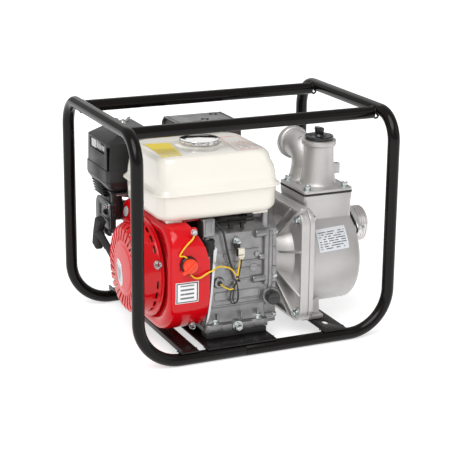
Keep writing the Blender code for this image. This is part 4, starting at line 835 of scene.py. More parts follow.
def makeShroud():
    x0, x1 = shroud["x"]
    front = [shroudRing(x1, 0.0), shroudRing(x1 - 0.020, 0.0), shroudRing(x0 + 0.020, 0.0),
             shroudRing(x0 + 0.010, 0.0009),
             shroudRing(x0 + 0.005, 0.0030), shroudRing(x0 + 0.002, 0.0062), shroudRing(x0 + 0.0004, 0.0100),
             shroudRing(x0, 0.0135),
             shroudRing(x0 + 0.0006, 0.0165), shroudRing(x0 + 0.0026, 0.0185, 0.10),
             shroudRing(x0 + 0.0042, 0.0195, 0.25),
             shroudRing(x0 + 0.0048, 0.0200, 0.55), shroudRing(x0 + 0.0048, 0.0200, 1.0)]
    shell = lofted(front)
    # the two ends were filled: open them again so that the wall gets its own thickness
    pickFaces(shell, lambda centre, normal: False)
    bpy.ops.object.mode_set(mode="OBJECT")
    for face in shell.data.polygons:
        face.select = len(face.vertices) > 8
    bpy.ops.object.mode_set(mode="EDIT")
    bpy.ops.mesh.delete(type="FACE")
    bpy.ops.object.mode_set(mode="OBJECT")
    applyModifier(shell, "SOLIDIFY", thickness=shroud["wall"], offset=-1)
    # the near back edge is cut away towards the top
    cutter = [(0.02, 0.30), (-0.1306, 0.30)] + shroud["backCut"] + [(0.02, 0.1700)]
    wedge = plate([(x, z) for x, z in cutter], "y", -0.20, -0.118)
    carve(shell, wedge)
    soften(shell, 0.0005, 2, 50)
    finished(shell, "shroudShell", "unit", "red_paint", paint["redPaint"], "fan_shroud", smoothAngle=40)
    bolts = [hexBolt((-0.1295, shroud["y"][0] + 0.0024, 0.2255), (0, -1, 0), 0.0085, 0.0045, 0.0066),
             hexBolt((-0.1195, shroud["y"][0] + 0.030, 0.0505), (0, -1, -0.3), 0.0085, 0.0045, 0.0066)]
    finished(gather(bolts), "shroudBolts", "unit", "steel", paint["zincSteel"])
    tabs = [plate(roundedOutline((-0.1365, -0.1235), (0.2185, 0.2335), 0.005), "y", shroud["y"][0] + 0.0004,
                  shroud["y"][0] + 0.0024, 0.0005)]
    finished(gather(tabs), "shroudTab", "unit", "red_paint", paint["redPaint"])
    print("shroud ready")


makeShroud()

recoil = {"radius": 0.079, "flange": 0.087, "front": -0.2155, "back": -0.1723, "slots": 30, "slotIn": 0.0460,
          "slotOut": 0.0780,
          "slotWidth": 0.0046, "slant": 20, "disc": 0.0405, "sideSlots": 24, "sideSlotHalf": 0.0072,
          "bolts": (162, 282, 42)}
outwards = Matrix(((0, 1, 0, 0), (0, 0, 1, 0), (1, 0, 0, 0), (0, 0, 0, 1)))


def makeRecoil():
    cy, cz = shroud["crank"]
    f, b, r = recoil["front"], recoil["back"], recoil["radius"]
    profile = [(b, recoil["flange"]), (b - 0.0016, recoil["flange"]),
               (b - 0.0022, recoil["flange"] - 0.0010), (b - 0.0024, r + 0.0030),
               (b - 0.0034, r + 0.0012), (b - 0.0060, r + 0.0004), (f + 0.0170, r), (f + 0.0120, r - 0.0006),
               (f + 0.0075, r - 0.0026),
               (f + 0.0042, r - 0.0058), (f + 0.0022, r - 0.0095), (f + 0.0014, r - 0.0130),
               (f + 0.0014, recoil["disc"] + 0.0030),
               (f + 0.0010, recoil["disc"] + 0.0012), (f + 0.0002, recoil["disc"] - 0.0006),
               (f, recoil["disc"] - 0.0030),
               (f, 0.010), (f, 0.0008), (f + 0.0030, 0.0008), (f + 0.0034, recoil["disc"]),
               (f + 0.0040, r - 0.0140),
               (f + 0.0060, r - 0.0070), (f + 0.0120, r - 0.0026), (f + 0.0180, r - 0.0020),
               (b - 0.0010, r - 0.0020), (b, r - 0.0020)]
    shell = turned(profile, "x", (cy, cz), 120, ringShape=True)
    cutters = []
    for k in range(recoil["slots"]):
        a = 2 * math.pi * k / recoil["slots"]
        half = recoil["slotWidth"] / 2
        outline = roundedOutline((recoil["slotIn"], recoil["slotOut"]), (-half, half), half * 0.98, 3)
        slot = plate(outline, "x", f - 0.004, f + 0.0125)
        spin = Matrix.Translation((0, cy, cz)) @ Matrix.Rotation(a, 4, "X")
        middleRadius = (recoil["slotIn"] + recoil["slotOut"]) / 2
        lean = Matrix.Translation((0, middleRadius, 0)) @ Matrix.Rotation(math.radians(recoil["slant"]), 4,
                "X") @ Matrix.Translation((0, -middleRadius, 0))
        cutters.append(turnPiece(slot, spin @ lean))
    for k in range(recoil["sideSlots"]):
        a = 2 * math.pi * (k + 0.5) / recoil["sideSlots"]
        if min(abs(math.degrees(a) - bolt) for bolt in recoil["bolts"]) < 12:
            continue
        half = recoil["sideSlotHalf"]
        slot = plate(roundedOutline((-half, half), (b - 0.0110, b - 0.0070), 0.0018, 3), "z", r - 0.012,
                     r + 0.006)
        turnPiece(slot, outwards)
        cutters.append(slot)
        spin = Matrix.Translation((0, cy, cz)) @ Matrix.Rotation(a, 4, "X")
        turnPiece(slot, spin)
    carve(shell, gather(cutters))
    finished(shell, "recoilShell", "unit", "red_paint", paint["redPaint"], "recoil_housing", smoothAngle=38)
    print("recoil housing ready")


makeRecoil()


# Pump: adapter, casing, outlet head, suction port.

pump = {"crank": (-0.047, 0.140), "flangeY": (-0.147, 0.041), "flangeZ": (0.030, 0.232),
        "flangeCorner": 0.024,
        "adapterStart": 0.0456, "adapterFlange": (0.0830, 0.0924), "casingFlange": (0.0929, 0.1023),
        "drumCentre": (-0.053, 0.128), "drumRadius": 0.088, "drumEnd": 0.200,
        "outletX": (0.104, 0.2005), "outletY": (-0.100, 0.0), "outletFace": 0.2463, "outletCorner": 0.007,
        "neck": (0.155, -0.052), "neckTop": 0.336, "neckRadius": 0.0262, "rimRadius": 0.0305,
        "boreRadius": 0.022,
        "elbow": (0.150, 0.311), "elbowFace": 0.046, "elbowRadius": 0.0255, "elbowFoot": -0.012,
        "suction": (-0.050, 0.1715), "suctionFace": 0.2452, "suctionRadius": 0.032, "ear": 0.045}


def flangeShape(inset=0.0, corner=None):
    corner = corner or pump["flangeCorner"]
    return roundedOutline((pump["flangeY"][0] + inset, pump["flangeY"][1] - inset),
                          (pump["flangeZ"][0] + inset, pump["flangeZ"][1] - inset), corner - inset, 10)


def gusset(a, b, c, thick, start):
    # A triangular web with corners a, b, c, given its thickness on both sides.
    a, b, c = Vector(a), Vector(b), Vector(c)
    normal = (b - a).cross(c - a).normalized() * thick / 2
    return lofted([[a - normal, b - normal, c - normal], [a + normal, b + normal, c + normal]])


def makeAdapter():
    cy, cz = pump["crank"]
    x0 = pump["adapterStart"]
    f0, f1 = pump["adapterFlange"]
    core = turned([(x0, 0.0475), (x0 + 0.004, 0.0500), (x0 + 0.012, 0.0510), (f0 - 0.012, 0.0555),
                   (f0 - 0.004, 0.0590),
                   (f0 + 0.002, 0.0640)], "x", (cy, cz), 72)
    wallPlate = plate(flangeShape(), "x", f0, f1, 0.0012, 3)
    lip = plate(flangeShape(), "x", f0 - 0.0065, f0 + 0.002, 0.0010, 2)
    carve(lip, plate(flangeShape(0.0048), "x", f0 - 0.02, f0 + 0.0005))
    pieces = [core, wallPlate, lip]
    top, low = pump["flangeZ"][1] - 0.003, pump["flangeZ"][0] + 0.003
    near, far = pump["flangeY"][0] + 0.003, pump["flangeY"][1] - 0.003
    ribs = [((0, -1, 0.22), near, None), ((0, -1, -0.62), near, None), ((0, -0.62, 1), None, top),
            ((0, 0.42, 1), None, top),
            ((0, -0.55, -1), None, low), ((0, 0.55, -1), None, low), ((0, 1, 0.30), far, None),
            ((0, 1, -0.45), far, None),
            ((0, -1, 1.02), near, None), ((0, -1, -1.25), None, low)]
    for direction, limitY, limitZ in ribs:
        d = Vector(direction).normalized()
        reach = (limitY - cy) / d.y if limitY is not None else (limitZ - cz) / d.z
        start = Vector((x0 + 0.010, cy, cz)) + d * 0.0470
        foot = Vector((f0 + 0.001, cy, cz)) + d * 0.0470
        tip = Vector((f0 + 0.001, cy, cz)) + d * reach
        shoulder = Vector((f0 - 0.008, cy, cz)) + d * reach
        normal = (foot - start).cross(tip - foot).normalized() * 0.0019
        rib = lofted([[start - normal, foot - normal, tip - normal, shoulder - normal],
                      [start + normal, foot + normal, tip + normal, shoulder + normal]])
        pieces.append(soften(rib, 0.0009, 2))
    for y, z in ((near + 0.013, top - 0.013), (far - 0.013, top - 0.013), (near + 0.013, low + 0.013),
                 (far - 0.013, low + 0.013)):
        pieces.append(turned([(f0 - 0.0060, 0.0088), (f0 + 0.001, 0.0098)], "x", (y, z), 32, bevel=0.0008))
    for k, a in enumerate((52, 128, 232, 308)):     # four bosses that hold the adapter on the engine
        d = Vector((0, math.cos(math.radians(a)), math.sin(math.radians(a))))
        place = Vector((0, cy, cz)) + d * 0.0440
        pieces.append(turned([(x0 + 0.001, 0.0085), (x0 + 0.020, 0.0085), (x0 + 0.022, 0.0070)], "x",
                             (place.y, place.z), 28))
    body = gather(pieces)
    finished(body, "adapterBody", "unit", "casting", paint["castAlloy"], "pump_adapter")
    bolts = []
    for y, z in ((near + 0.013, top - 0.013), (far - 0.013, top - 0.013), (near + 0.013, low + 0.013),
                 (far - 0.013, low + 0.013)):
        bolts.append(hexBolt((f0 - 0.0060, y, z), (-1, 0, 0), 0.0100, 0.0050, 0.0080))
        bolts.append(hexBolt((pump["casingFlange"][1], y, z), (1, 0, 0), 0.0100, 0.0040, 0.0078))
    finished(gather(bolts), "flangeBolts", "unit", "steel", paint["zincSteel"])
    print("adapter ready")


makeAdapter()


def makeCasing():
    dy, dz = pump["drumCentre"]
    r, end = pump["drumRadius"], pump["drumEnd"]
    f0, f1 = pump["casingFlange"]
    x0, x1 = pump["outletX"]
    y0, y1 = pump["outletY"]
    face = pump["outletFace"]
    sy, sz = pump["suction"]
    flange = plate(flangeShape(), "x", f0, f1, 0.0012, 3)
    drum = turned([(f1 - 0.002, r + 0.0030), (f1 + 0.0010, r + 0.0012), (f1 + 0.0035, r),
                   (end - 0.0075, r - 0.0008), (end - 0.0060, r - 0.0012),
                   (end - 0.0022, r - 0.0035), (end - 0.0006, r - 0.0060), (end, r - 0.0090),
                   (end, r - 0.0140), (end - 0.0020, r - 0.0165),
                   (end - 0.0030, 0.030), (end - 0.0030, 0.001)], "x", (dy, dz), 128)
    rim = 0.0016
    neckRows = []
    for z, inset in ((dz + 0.02, rim), (face - 0.0190, rim), (face - 0.0140, rim * 0.75),
                     (face - 0.0105, rim * 0.25), (face - 0.0080, 0.0),
                     (face - 0.0006, 0.0), (face, 0.0006)):
        neckRows.append([Vector((u, v, z)) for u,
                         v in roundedOutline((x0 + inset, x1 - inset * 0.6), (y0 + inset, y1 - inset),
                                                                      pump["outletCorner"], 6)])
    neck = lofted(neckRows)
    bore = plate(roundedOutline((x0 + 0.012, x1 - 0.012), (y0 + 0.012, y1 - 0.012), 0.006, 4), "z",
                 face - 0.03, face + 0.01)
    carve(neck, bore, rod("x", (sy, sz), 0.0222, 0.1600, 0.2200))
    carve(drum, rod("x", (sy, sz), 0.0222, 0.1600, 0.2200))
    boss = turned([(end - 0.006, 0.0335), (end - 0.002, 0.0305), (end + 0.002, 0.0292),
                   (end + 0.0134, 0.0288)], "x", (sy, sz), 64)
    carve(boss, rod("x", (sy, sz), 0.0222, 0.1600, 0.2200))
    pieces = [flange, drum, neck, boss]
    for side in (-1, 1):
        ear = turned([(end - 0.006, 0.0105), (end + 0.0134, 0.0088)], "x",
                     (sy + side * (pump["ear"] - 0.009), sz), 28, bevel=0.0006)
        pieces.append(ear)
        footY = dy + side * 0.056
        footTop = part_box("pump_cross_plate")[1].z
        pad = block((f0 + 0.001, footY - 0.0135, footTop + 0.0004),
                    (0.1355, footY + 0.0135, footTop + 0.0090), 0.0016, 3)
        web = gusset((f1 - 0.002, footY, footTop + 0.006), (0.1330, footY, footTop + 0.007),
                     (0.1330, footY - side * 0.006, dz - 0.060), 0.007, 0)
        pieces += [pad, web]
    for a in (-150, -115, -65, -30, 15, 150):      # cooling webs on the end face
        d = Vector((0, math.cos(math.radians(a)), math.sin(math.radians(a))))
        inner, outer = Vector((0, dy, dz)) + d * 0.022, Vector((0, dy, dz)) + d * (r - 0.012)
        side = Vector((0, -d.z, d.y)) * 0.0018
        rib = lofted([[Vector((end - 0.004, q.y, q.z)) for q in (inner - side, outer - side, outer + side,
                inner + side)],
                      [Vector((end + 0.0012, q.y, q.z)) for q in (inner - side, outer - side, outer + side,
                              inner + side)]])
        pieces.append(soften(rib, 0.0006, 2))
    drainY, drainZ = -0.055, 0.058
    pieces.append(turned([(end - 0.004, 0.0125), (end + 0.0004, 0.0118)], "x", (drainY, drainZ), 32,
                         bevel=0.0005))
    body = gather(pieces)
    finished(body, "casingBody", "unit", "casting", paint["castAlloy"], "pump_casing")
    seamBead = wire([(x, dy + (r + 0.0002) * math.cos(math.radians(90)),
                      dz + r + 0.0002) for x in (f1 + 0.001, 0.150, end - 0.01)], 0.0006, 8)
    finished(seamBead, "castingSeam", "unit", "casting", paint["castAlloy"])
    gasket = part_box("outlet_gasket")
    outline = roundedOutline((x0 - 0.0004, x1 + 0.0004), (y0 - 0.0004, y1 + 0.0004), pump["outletCorner"], 8)
    seal = plate(outline, "z", gasket[0].z, gasket[1].z, 0.0004)
    carve(seal, plate(roundedOutline((x0 + 0.012, x1 - 0.012), (y0 + 0.012, y1 - 0.012), 0.006, 4), "z",
                      gasket[0].z - 0.01, gasket[1].z + 0.01))
    finished(seal, "outletSeal", "unit", "rubber", paint["blackRubber"], "outlet_gasket")
    print("casing ready")


makeCasing()


def makeOutletHead():
    x0, x1 = pump["outletX"]
    y0, y1 = pump["outletY"]
    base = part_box("outlet_head")[0].z
    nx, ny = pump["neck"]
    top, r, rim = pump["neckTop"], pump["neckRadius"], pump["rimRadius"]
    ex, ez = pump["elbow"]
    er = pump["elbowRadius"]
    slab = plate(roundedOutline((x0, x1), (y0, y1), pump["outletCorner"], 8), "z", base, base + 0.0052,
                 0.0011, 3)
    profile = [(base + 0.002, r + 0.0110), (base + 0.0052, r + 0.0108), (base + 0.0062, r + 0.0080),
               (base + 0.0085, r + 0.0062), (base + 0.013, r + 0.0048),
               (base + 0.022, r + 0.0032), (base + 0.036, r + 0.0016), (base + 0.052, r + 0.0006),
               (top - 0.0125, r + 0.0002), (top - 0.0105, r + 0.0012),
               (top - 0.0092, rim - 0.0008), (top - 0.0080, rim), (top - 0.0022, rim),
               (top - 0.0008, rim - 0.0006), (top, rim - 0.0022)]
    neck = turned(profile, "z", (nx, ny), 96)
    # the elbow leaves the plate upright, then bends to face the far side
    bend = 0.0235
    riser = ez - bend - base
    elbow = pipe((ex, pump["elbowFoot"], base + 0.001), (0, 0, 1), er, [
        Vector((0, 0, riser)), ((ex, pump["elbowFoot"] + bend, ez - bend), (1, 0, 0), -90, 14),
        Vector((0, pump["elbowFace"] - 0.014 - pump["elbowFoot"] - bend, 0))], 64)
    flare = turned([(base + 0.002, er + 0.0100), (base + 0.0054, er + 0.0098), (base + 0.0066, er + 0.0070),
                    (base + 0.010, er + 0.0046),
                    (base + 0.018, er + 0.0022), (base + 0.030, er + 0.0004)], "z", (ex, pump["elbowFoot"]),
                    72)
    clampBlock = block((x0 + 0.016, pump["elbowFoot"] - 0.02, base + 0.003), (x1 - 0.016, ny, base + 0.0085),
                       0.002, 3)
    face = pump["elbowFace"]
    ring = turned([(face - 0.0150, er + 0.0002), (face - 0.0138, er + 0.0030), (face - 0.0126, 0.0296),
                   (face - 0.0110, 0.0300), (face - 0.0020, 0.0300),
                   (face - 0.0006, 0.0294), (face, 0.0282)], "y", (ex, ez), 96)
    web = lofted([[Vector((ex + s, ny + 0.012, base + 0.004)),
                   Vector((ex + s, pump["elbowFoot"], base + 0.004)),
                   Vector((ex + s, pump["elbowFoot"], base + 0.050)),
                   Vector((ex + s, ny + 0.012, base + 0.062))] for s in (-0.004, 0.004)])
    lug = block((nx + r - 0.004, ny - 0.0052, 0.2705), (nx + r + 0.0148, ny + 0.0052, 0.2895), 0.0010, 3)
    body = weld(neck, slab, elbow, flare, ring, clampBlock, web, lug)
    boreUp = rod("z", (nx, ny), 0.0248, top - 0.0115, top + 0.01)
    lower = rod("z", (nx, ny), pump["boreRadius"], base - 0.004, top)
    port = rod("y", (ex, ez), pump["boreRadius"], pump["elbowFoot"] + 0.004, face + 0.01)
    portUp = rod("z", (ex + 0.0011, pump["elbowFoot"] + 0.0003), pump["boreRadius"] - 0.001, base - 0.004, ez)
    carve(body, boreUp, lower, port, portUp)
    soften(body, 0.0012, 3, 38)
    finished(body, "outletHead", "unit", "casting", paint["castAlloy"], "outlet_head", smoothAngle=45)
    # parting line up the neck tube, and the machined face of the elbow ring
    a = math.radians(-52)
    line = []
    for z, rad in profile[3:13]:
        line.append((nx + (rad + 0.0001) * math.cos(a), ny + (rad + 0.0001) * math.sin(a), z))
    finished(wire(line, 0.0009, 8), "neckPartingLine", "unit", "casting", paint["castAlloy"])
    cutRing = turned([(face - 0.0004, 0.0280), (face + 0.0001, 0.0280), (face + 0.0001, 0.0224),
                      (face - 0.0004, 0.0224)], "y", (ex, ez), 96, ringShape=True)
    finished(cutRing, "elbowCutFace", "unit", "casting", paint["cutAlloy"])
    bolts = [hexBolt((x, y, base + 0.0052), (0, 0, 1), 0.0110, 0.0058, 0.0092)
             for x in (x0 + 0.0115, x1 - 0.0115) for y in (y0 + 0.0115, y1 - 0.0115)]
    finished(gather(bolts), "outletBolts", "unit", "steel", paint["zincSteel"])
    # plug with a T handle
    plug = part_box("priming_plug")
    seat = top + 0.0003
    disc = turned([(seat - 0.010, 0.0205), (seat - 0.001, 0.0212), (seat, 0.0212), (seat, 0.0248),
                   (seat + 0.0012, 0.0256), (seat + 0.0050, 0.0256),
                   (seat + 0.0062, 0.0248), (seat + 0.0066, 0.0225), (seat + 0.0050, 0.0195),
                   (seat + 0.0048, 0.0120), (seat + 0.0060, 0.0100),
                   (seat + 0.0090, 0.0085), (seat + 0.0095, 0.0010)], "z", (nx, ny), 72)
    bar = lofted([[Vector((nx + w * math.cos(t) * 1.0, ny + d * math.sin(t),
                           z)) for t in [2 * math.pi * k / 24 for k in range(24)]]
                  for z, w, d in ((seat + 0.004, 0.0070, 0.0050), (seat + 0.008, 0.0062, 0.0040),
                                  (seat + 0.010, 0.0098, 0.0048),
                                  (plug[1].z - 0.003, 0.0115, 0.0052), (plug[1].z - 0.0008, 0.0110, 0.0047),
                                  (plug[1].z, 0.0090, 0.0030))])
    twist = Matrix.Translation((nx, ny, 0)) @ Matrix.Rotation(math.radians(107), 4,
            "Z") @ Matrix.Translation((-nx, -ny, 0))
    turnPiece(bar, twist)
    finished(gather([bar, disc]), "primingPlug", "priming_plug_body", "black_plastic", paint["glossPlastic"],
             "priming_plug", smoothAngle=40)
    print("outlet head ready")


makeOutletHead()


def earedOutline(inset=0.0, wave=0.0):
    sy, sz = pump["suction"]
    points = []
    for k in range(96):
        a = 2 * math.pi * k / 96
        ear, body = pump["ear"] - inset, pump["suctionRadius"] - 0.0012 - inset
        lobe = abs(math.cos(a)) ** 5
        radius = body * (1 - lobe) + ear * lobe
        narrow = 1 - 0.30 * abs(math.cos(a)) ** 3
        radius += wave * math.sin(6 * a)
        points.append((sy + radius * math.cos(a),
                       sz + radius * math.sin(a) * (narrow if abs(math.cos(a)) > 0.5 else 1)))
    return points


def makeSuction():
    sy, sz = pump["suction"]
    flange, gasket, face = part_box("suction_flange"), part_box("suction_gasket"), pump["suctionFace"]
    r = pump["suctionRadius"]
    seal = plate(earedOutline(-0.0004, 0.0007), "x", gasket[0].x, gasket[1].x, 0.0003)
    carve(seal, rod("x", (sy, sz), pump["boreRadius"], gasket[0].x - 0.01, gasket[1].x + 0.01))
    finished(seal, "suctionSeal", "unit", "rubber", paint["blackRubber"], "suction_gasket")
    plateEnd = flange[0].x + 0.0085
    ears = plate(earedOutline(0.0002), "x", flange[0].x, plateEnd, 0.0012, 3)
    collar = turned([(plateEnd - 0.004, r - 0.0030), (plateEnd + 0.0010, r - 0.0026),
                     (plateEnd + 0.0026, r - 0.0008), (plateEnd + 0.0034, r),
                     (face - 0.0022, r), (face - 0.0008, r - 0.0007), (face, r - 0.0022)], "x", (sy, sz), 96)
    body = weld(ears, collar)
    carve(body, rod("x", (sy, sz), pump["boreRadius"] + 0.0006, flange[0].x - 0.01, face + 0.01))
    finished(body, "suctionFlange", "unit", "casting", paint["cutAlloy"], "suction_flange", smoothAngle=40)
    # raised thread rings on the collar, coloured brownish steel as painted shade of the thread grooves
    threadShadeRings = [turned([(x, r + 0.00015), (x + 0.0010, r + 0.00015), (x + 0.0010, r - 0.0008),
                         (x, r - 0.0008)], "x", (sy, sz), 96, ringShape=True)
                 for x in (plateEnd + 0.0062, plateEnd + 0.0105, plateEnd + 0.0148)]
    finished(gather(threadShadeRings), "suctionThreadShadeRings", "unit", "casting", paint["warmSteel"])
    bolts = [hexBolt((plateEnd, sy + side * (pump["ear"] - 0.0085), sz), (1, 0, 0), 0.0105, 0.0055,
                     0.0082) for side in (-1, 1)]
    finished(gather(bolts), "suctionBolts", "unit", "steel", paint["zincSteel"])
    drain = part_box("pump_drain_plug")
    y, z = -0.055, 0.058
    x = pump["drumEnd"] + 0.0005
    disc = turned([(x - 0.008, 0.0058), (x, 0.0060), (x, 0.0108), (x + 0.0008, 0.0112), (x + 0.0048, 0.0112),
                   (x + 0.0056, 0.0104), (x + 0.0060, 0.0070)],
                  "x", (y, z), 40)
    grip = block((x + 0.004, y - 0.0092, z - 0.0026), (drain[1].x, y + 0.0092, z + 0.0026), 0.0016, 3)
    finished(gather([disc, grip]), "drainPlug", "drain_plug_body", "black_plastic", paint["blackPlastic"],
             "pump_drain_plug")
    print("suction port ready")


makeSuction()

drumLabel = {"x": (0.1170, 0.1760), "high": 136.0, "low": 163.5, "lean": 1.0}


def makeDrumLabel():
    dy, dz = pump["drumCentre"]
    r = pump["drumRadius"] + 0.00025
    finish = printedFinish("ratingPlate", (0.70, 0.72, 0.75), (0.10, 0.10, 0.12), rows=10, margin=0.0,
                           area=(0.06, 0.1, 0.95, 0.9),
                           amount=0.47, metallic=0.25, roughness=0.32)
    bpy.ops.mesh.primitive_grid_add(x_subdivisions=16, y_subdivisions=16, calc_uvs=True)
    sheet = bpy.context.object
    for k, vertex in enumerate(sheet.data.vertices):
        u, v = (k % 17) / 16, (k // 17) / 16
        a = math.radians(drumLabel["low"] + (drumLabel["high"] - drumLabel["low"]) * v - drumLabel["lean"]
                         * 2 * u)
        vertex.co = (drumLabel["x"][0] + (drumLabel["x"][1] - drumLabel["x"][0]) * u, dy + r * math.cos(a),
                     dz + r * math.sin(a))
    if sheet.data.polygons[0].normal.y > 0:
        pickFaces(sheet, lambda centre, normal: True)
        bpy.ops.mesh.flip_normals()
        bpy.ops.object.mode_set(mode="OBJECT")
    applyModifier(sheet, "SOLIDIFY", thickness=0.0003, offset=1)
    finished(sheet, "drumLabel", "unit", "casting", finish)


makeDrumLabel()


# Engine block: crankcase with its ribs, flanges, bosses and bolts.

engine = {"nearFace": -0.122, "back": -0.098, "joint": 0.018, "base": 0.034, "footEdge": -0.138,
          "ribs": [(-0.060, 0.012, 0.1515, 0.0016), (-0.056, 0.012, 0.1395, 0.0011),
                   (-0.050, 0.012, 0.1195, 0.0016),
                   (-0.070, 0.006, 0.1720, 0.0012), (-0.080, 0.014, 0.0755, 0.0016)],
          "panel": (-0.0765, 0.0095, 0.0835, 0.1010), "sensor": (-0.0690, 0.1185),
          "coverBolts": [(-0.1185, 0.0455), (-0.1180, 0.1170), (-0.1175, 0.1960), (0.0240, 0.1900),
                         (0.0240, 0.0500), (-0.060, 0.2185), (-0.030, 0.0400)]}


def makeCrankcase():
    near = engine["nearFace"]
    body = castingFrom("crankcase", 0.0014, 3, 28)
    extra = []
    for x0, x1, z, thick in engine["ribs"]:
        extra.append(block((x0, near - 0.0016, z - thick), (x1, near + 0.002, z + thick), 0.0008))
    x0, x1, z0, z1 = engine["panel"]
    ring = plate(roundedOutline((x0, x1), (z0, z1), 0.0045, 6), "y", near - 0.0013, near + 0.002, 0.0004)
    carve(ring, plate(roundedOutline((x0 + 0.0017, x1 - 0.0017), (z0 + 0.0017, z1 - 0.0017), 0.0032, 6), "y",
                      near - 0.004, near - 0.0002))
    extra.append(ring)
    # skirt that slopes out to the mounting foot, and the two bolt lands on it
    skirt = [(near + 0.004, 0.0830), (near - 0.0003, 0.0770), (near - 0.0012, 0.0700),
             (near - 0.0028, 0.0600), (near - 0.0062, 0.0515),
             (near - 0.0105, 0.0462), (near + 0.004, 0.0455)]
    extra.append(plate(skirt, "x", engine["back"] + 0.0035, engine["joint"] - 0.001, 0.0008))
    for x0, x1 in ((engine["back"], -0.0640), (-0.0120, engine["joint"])):
        land = roundedOutline((x0, x1), (engine["footEdge"] - 0.0012, near + 0.004), 0.0085, 6)
        extra.append(plate(land, "z", engine["base"] + 0.0004, engine["base"] + 0.0140, 0.0013, 3))
    for x in (-0.0740, -0.0290, 0.0020):        # short webs between the skirt and the foot
        extra.append(block((x - 0.0016, near - 0.0110, 0.0455), (x + 0.0016, near + 0.002, 0.0640), 0.0012))
    # turned sensor boss, the round pads and the drain boss
    sx, sz = engine["sensor"]
    extra.append(turned([(near - 0.0060, 0.0072), (near - 0.0050, 0.0090), (near + 0.001, 0.0112)], "y",
                        (sx, sz), 32, bevel=0.0006))
    for x, z, r, h in ((-0.0367, 0.1905, 0.0072, 0.0055), (-0.0030, 0.1380, 0.0080, 0.0016),
                       (-0.0550, 0.1640, 0.0055, 0.0030), (0.0030, 0.1620, 0.0050, 0.0030)):
        extra.append(turned([(near - h, r * 0.86), (near - h * 0.7, r * 0.95), (near + 0.001, r)], "y",
                            (x, z), 28, bevel=0.0005))
    extra.append(turned([(engine["footEdge"] - 0.0016, 0.0088), (engine["footEdge"] + 0.010, 0.0105)], "y",
                        (-0.0397, 0.0415), 32, bevel=0.0008))
    # flange against the fan shroud
    flange = [(-0.0985, 0.046), (-0.0985, 0.196), (-0.0905, 0.2050), (-0.0860, 0.196), (-0.0868, 0.150),
              (-0.0890, 0.110), (-0.0925, 0.070), (-0.0930, 0.046)]
    extra.append(plate(flange, "y", near - 0.0052, near + 0.004, 0.0012, 2))
    # webbed column along the joint with the side cover
    extra.append(turned([(0.1050, 0.0044), (0.1075, 0.0054), (0.2020, 0.0054), (0.2060, 0.0042)], "z",
                        (0.0200, near - 0.0012), 28))
    for z, r, start, end in ((0.1985, 0.0074, -0.0020, 0.0182), (0.1560, 0.0056, 0.0060, 0.0182),
                             (0.1170, 0.0068, -0.0060, 0.0182), (0.0455, 0.0060, 0.0040, 0.0182)):
        extra.append(turned([(start, r * 0.9), (start + 0.001, r), (end, r)], "x", (near - 0.0008, z), 28,
                            bevel=0.0006))
        extra.append(block((start + 0.002, near - 0.0010, z - r * 0.9),
                           (end - 0.0006, near + 0.004, z + r * 0.9), 0.001))
    # posts and arms under the tank
    extra.append(turned([(0.2000, 0.0074), (0.2040, 0.0066), (0.2360, 0.0066)], "z", (0.0215, -0.1120), 28))
    extra.append(block((0.0150, -0.1160, 0.1960), (0.0182, -0.0900, 0.2150), 0.0015))
    extra.append(turned([(-0.060, 0.0075), (-0.050, 0.0095), (-0.030, 0.0095), (-0.022, 0.0080)], "x",
                        (-0.1040, 0.2185), 24, bevel=0.0008))
    extra.append(block((-0.0500, -0.1000, 0.2100), (-0.0100, -0.0850, 0.2240), 0.0025, 3))
    body = gather(extra + [body])
    finished(body, "crankcaseBody", "unit", "casting", paint["engineAlloy"], "crankcase", smoothAngle=40)
    # machined recess in the sensor boss
    recess = turned([(near - 0.0068, 0.0046), (near - 0.0052, 0.0050)], "y", (sx, sz), 28, bevel=0.0003)
    finished(recess, "sensorSocket", "unit", "black_plastic", paint["blackPlastic"])
    # bright steel strip along the shroud's back edge
    strip = [(-0.0790, 0.1870), (-0.0748, 0.1835), (-0.0768, 0.1640), (-0.0800, 0.1350), (-0.0832, 0.1000),
             (-0.0868, 0.0700), (-0.0905, 0.0490),
             (-0.0960, 0.0480), (-0.0922, 0.0700), (-0.0884, 0.1000), (-0.0856, 0.1350), (-0.0836, 0.1640),
             (-0.0826, 0.1810)]
    finished(plate(strip, "y", near - 0.0095, near - 0.0048, 0.0012, 3), "shroudStrip", "unit", "steel",
             paint["brightSteel"])
    bracket = [block((-0.1030, -0.1335, 0.2050), (-0.0800, -0.1050, 0.2362), 0.0030, 3),
               block((-0.0990, -0.1345, 0.2100), (-0.0945, -0.1300, 0.2340), 0.0012),
               block((-0.0885, -0.1345, 0.2100), (-0.0840, -0.1300, 0.2340), 0.0012)]
    finished(gather(bracket), "tankBracketBlock", "unit", "casting", paint["engineAlloy"])
    finished(hexBolt((-0.0915, -0.1200, 0.2052), (0, 0, -1), 0.0100, 0.0050, 0.0085), "tankBracketBolt",
             "unit", "steel", paint["zincSteel"])
    mounts = [turned([(0.1790, 0.0085), (0.1830, 0.0105), (0.1920, 0.0092), (0.1965, 0.0105),
                      (0.1985, 0.0095)], "z", (-0.0890, -0.1260), 32),
              block((-0.0985, -0.1330, 0.1700), (-0.0830, -0.1240, 0.1860), 0.0028, 3)]
    finished(gather(mounts), "leadGrommet", "unit", "rubber", paint["blackRubber"])
    link = [plate(roundedOutline((-0.0760, -0.0180), (0.2180, 0.2300), 0.0030, 4), "y", -0.1235, -0.1215,
                  0.0005),
            rod("x", (-0.1265, 0.2250), 0.0016, -0.0720, -0.0060, 16, 0.0003),
            block((-0.0520, -0.1270, 0.2120), (-0.0440, -0.1215, 0.2280), 0.0010),
            block((-0.0300, -0.1265, 0.2090), (-0.0240, -0.1215, 0.2260), 0.0010)]
    finished(gather(link), "throttleLink", "unit", "black_plastic", paint["plateBlack"])
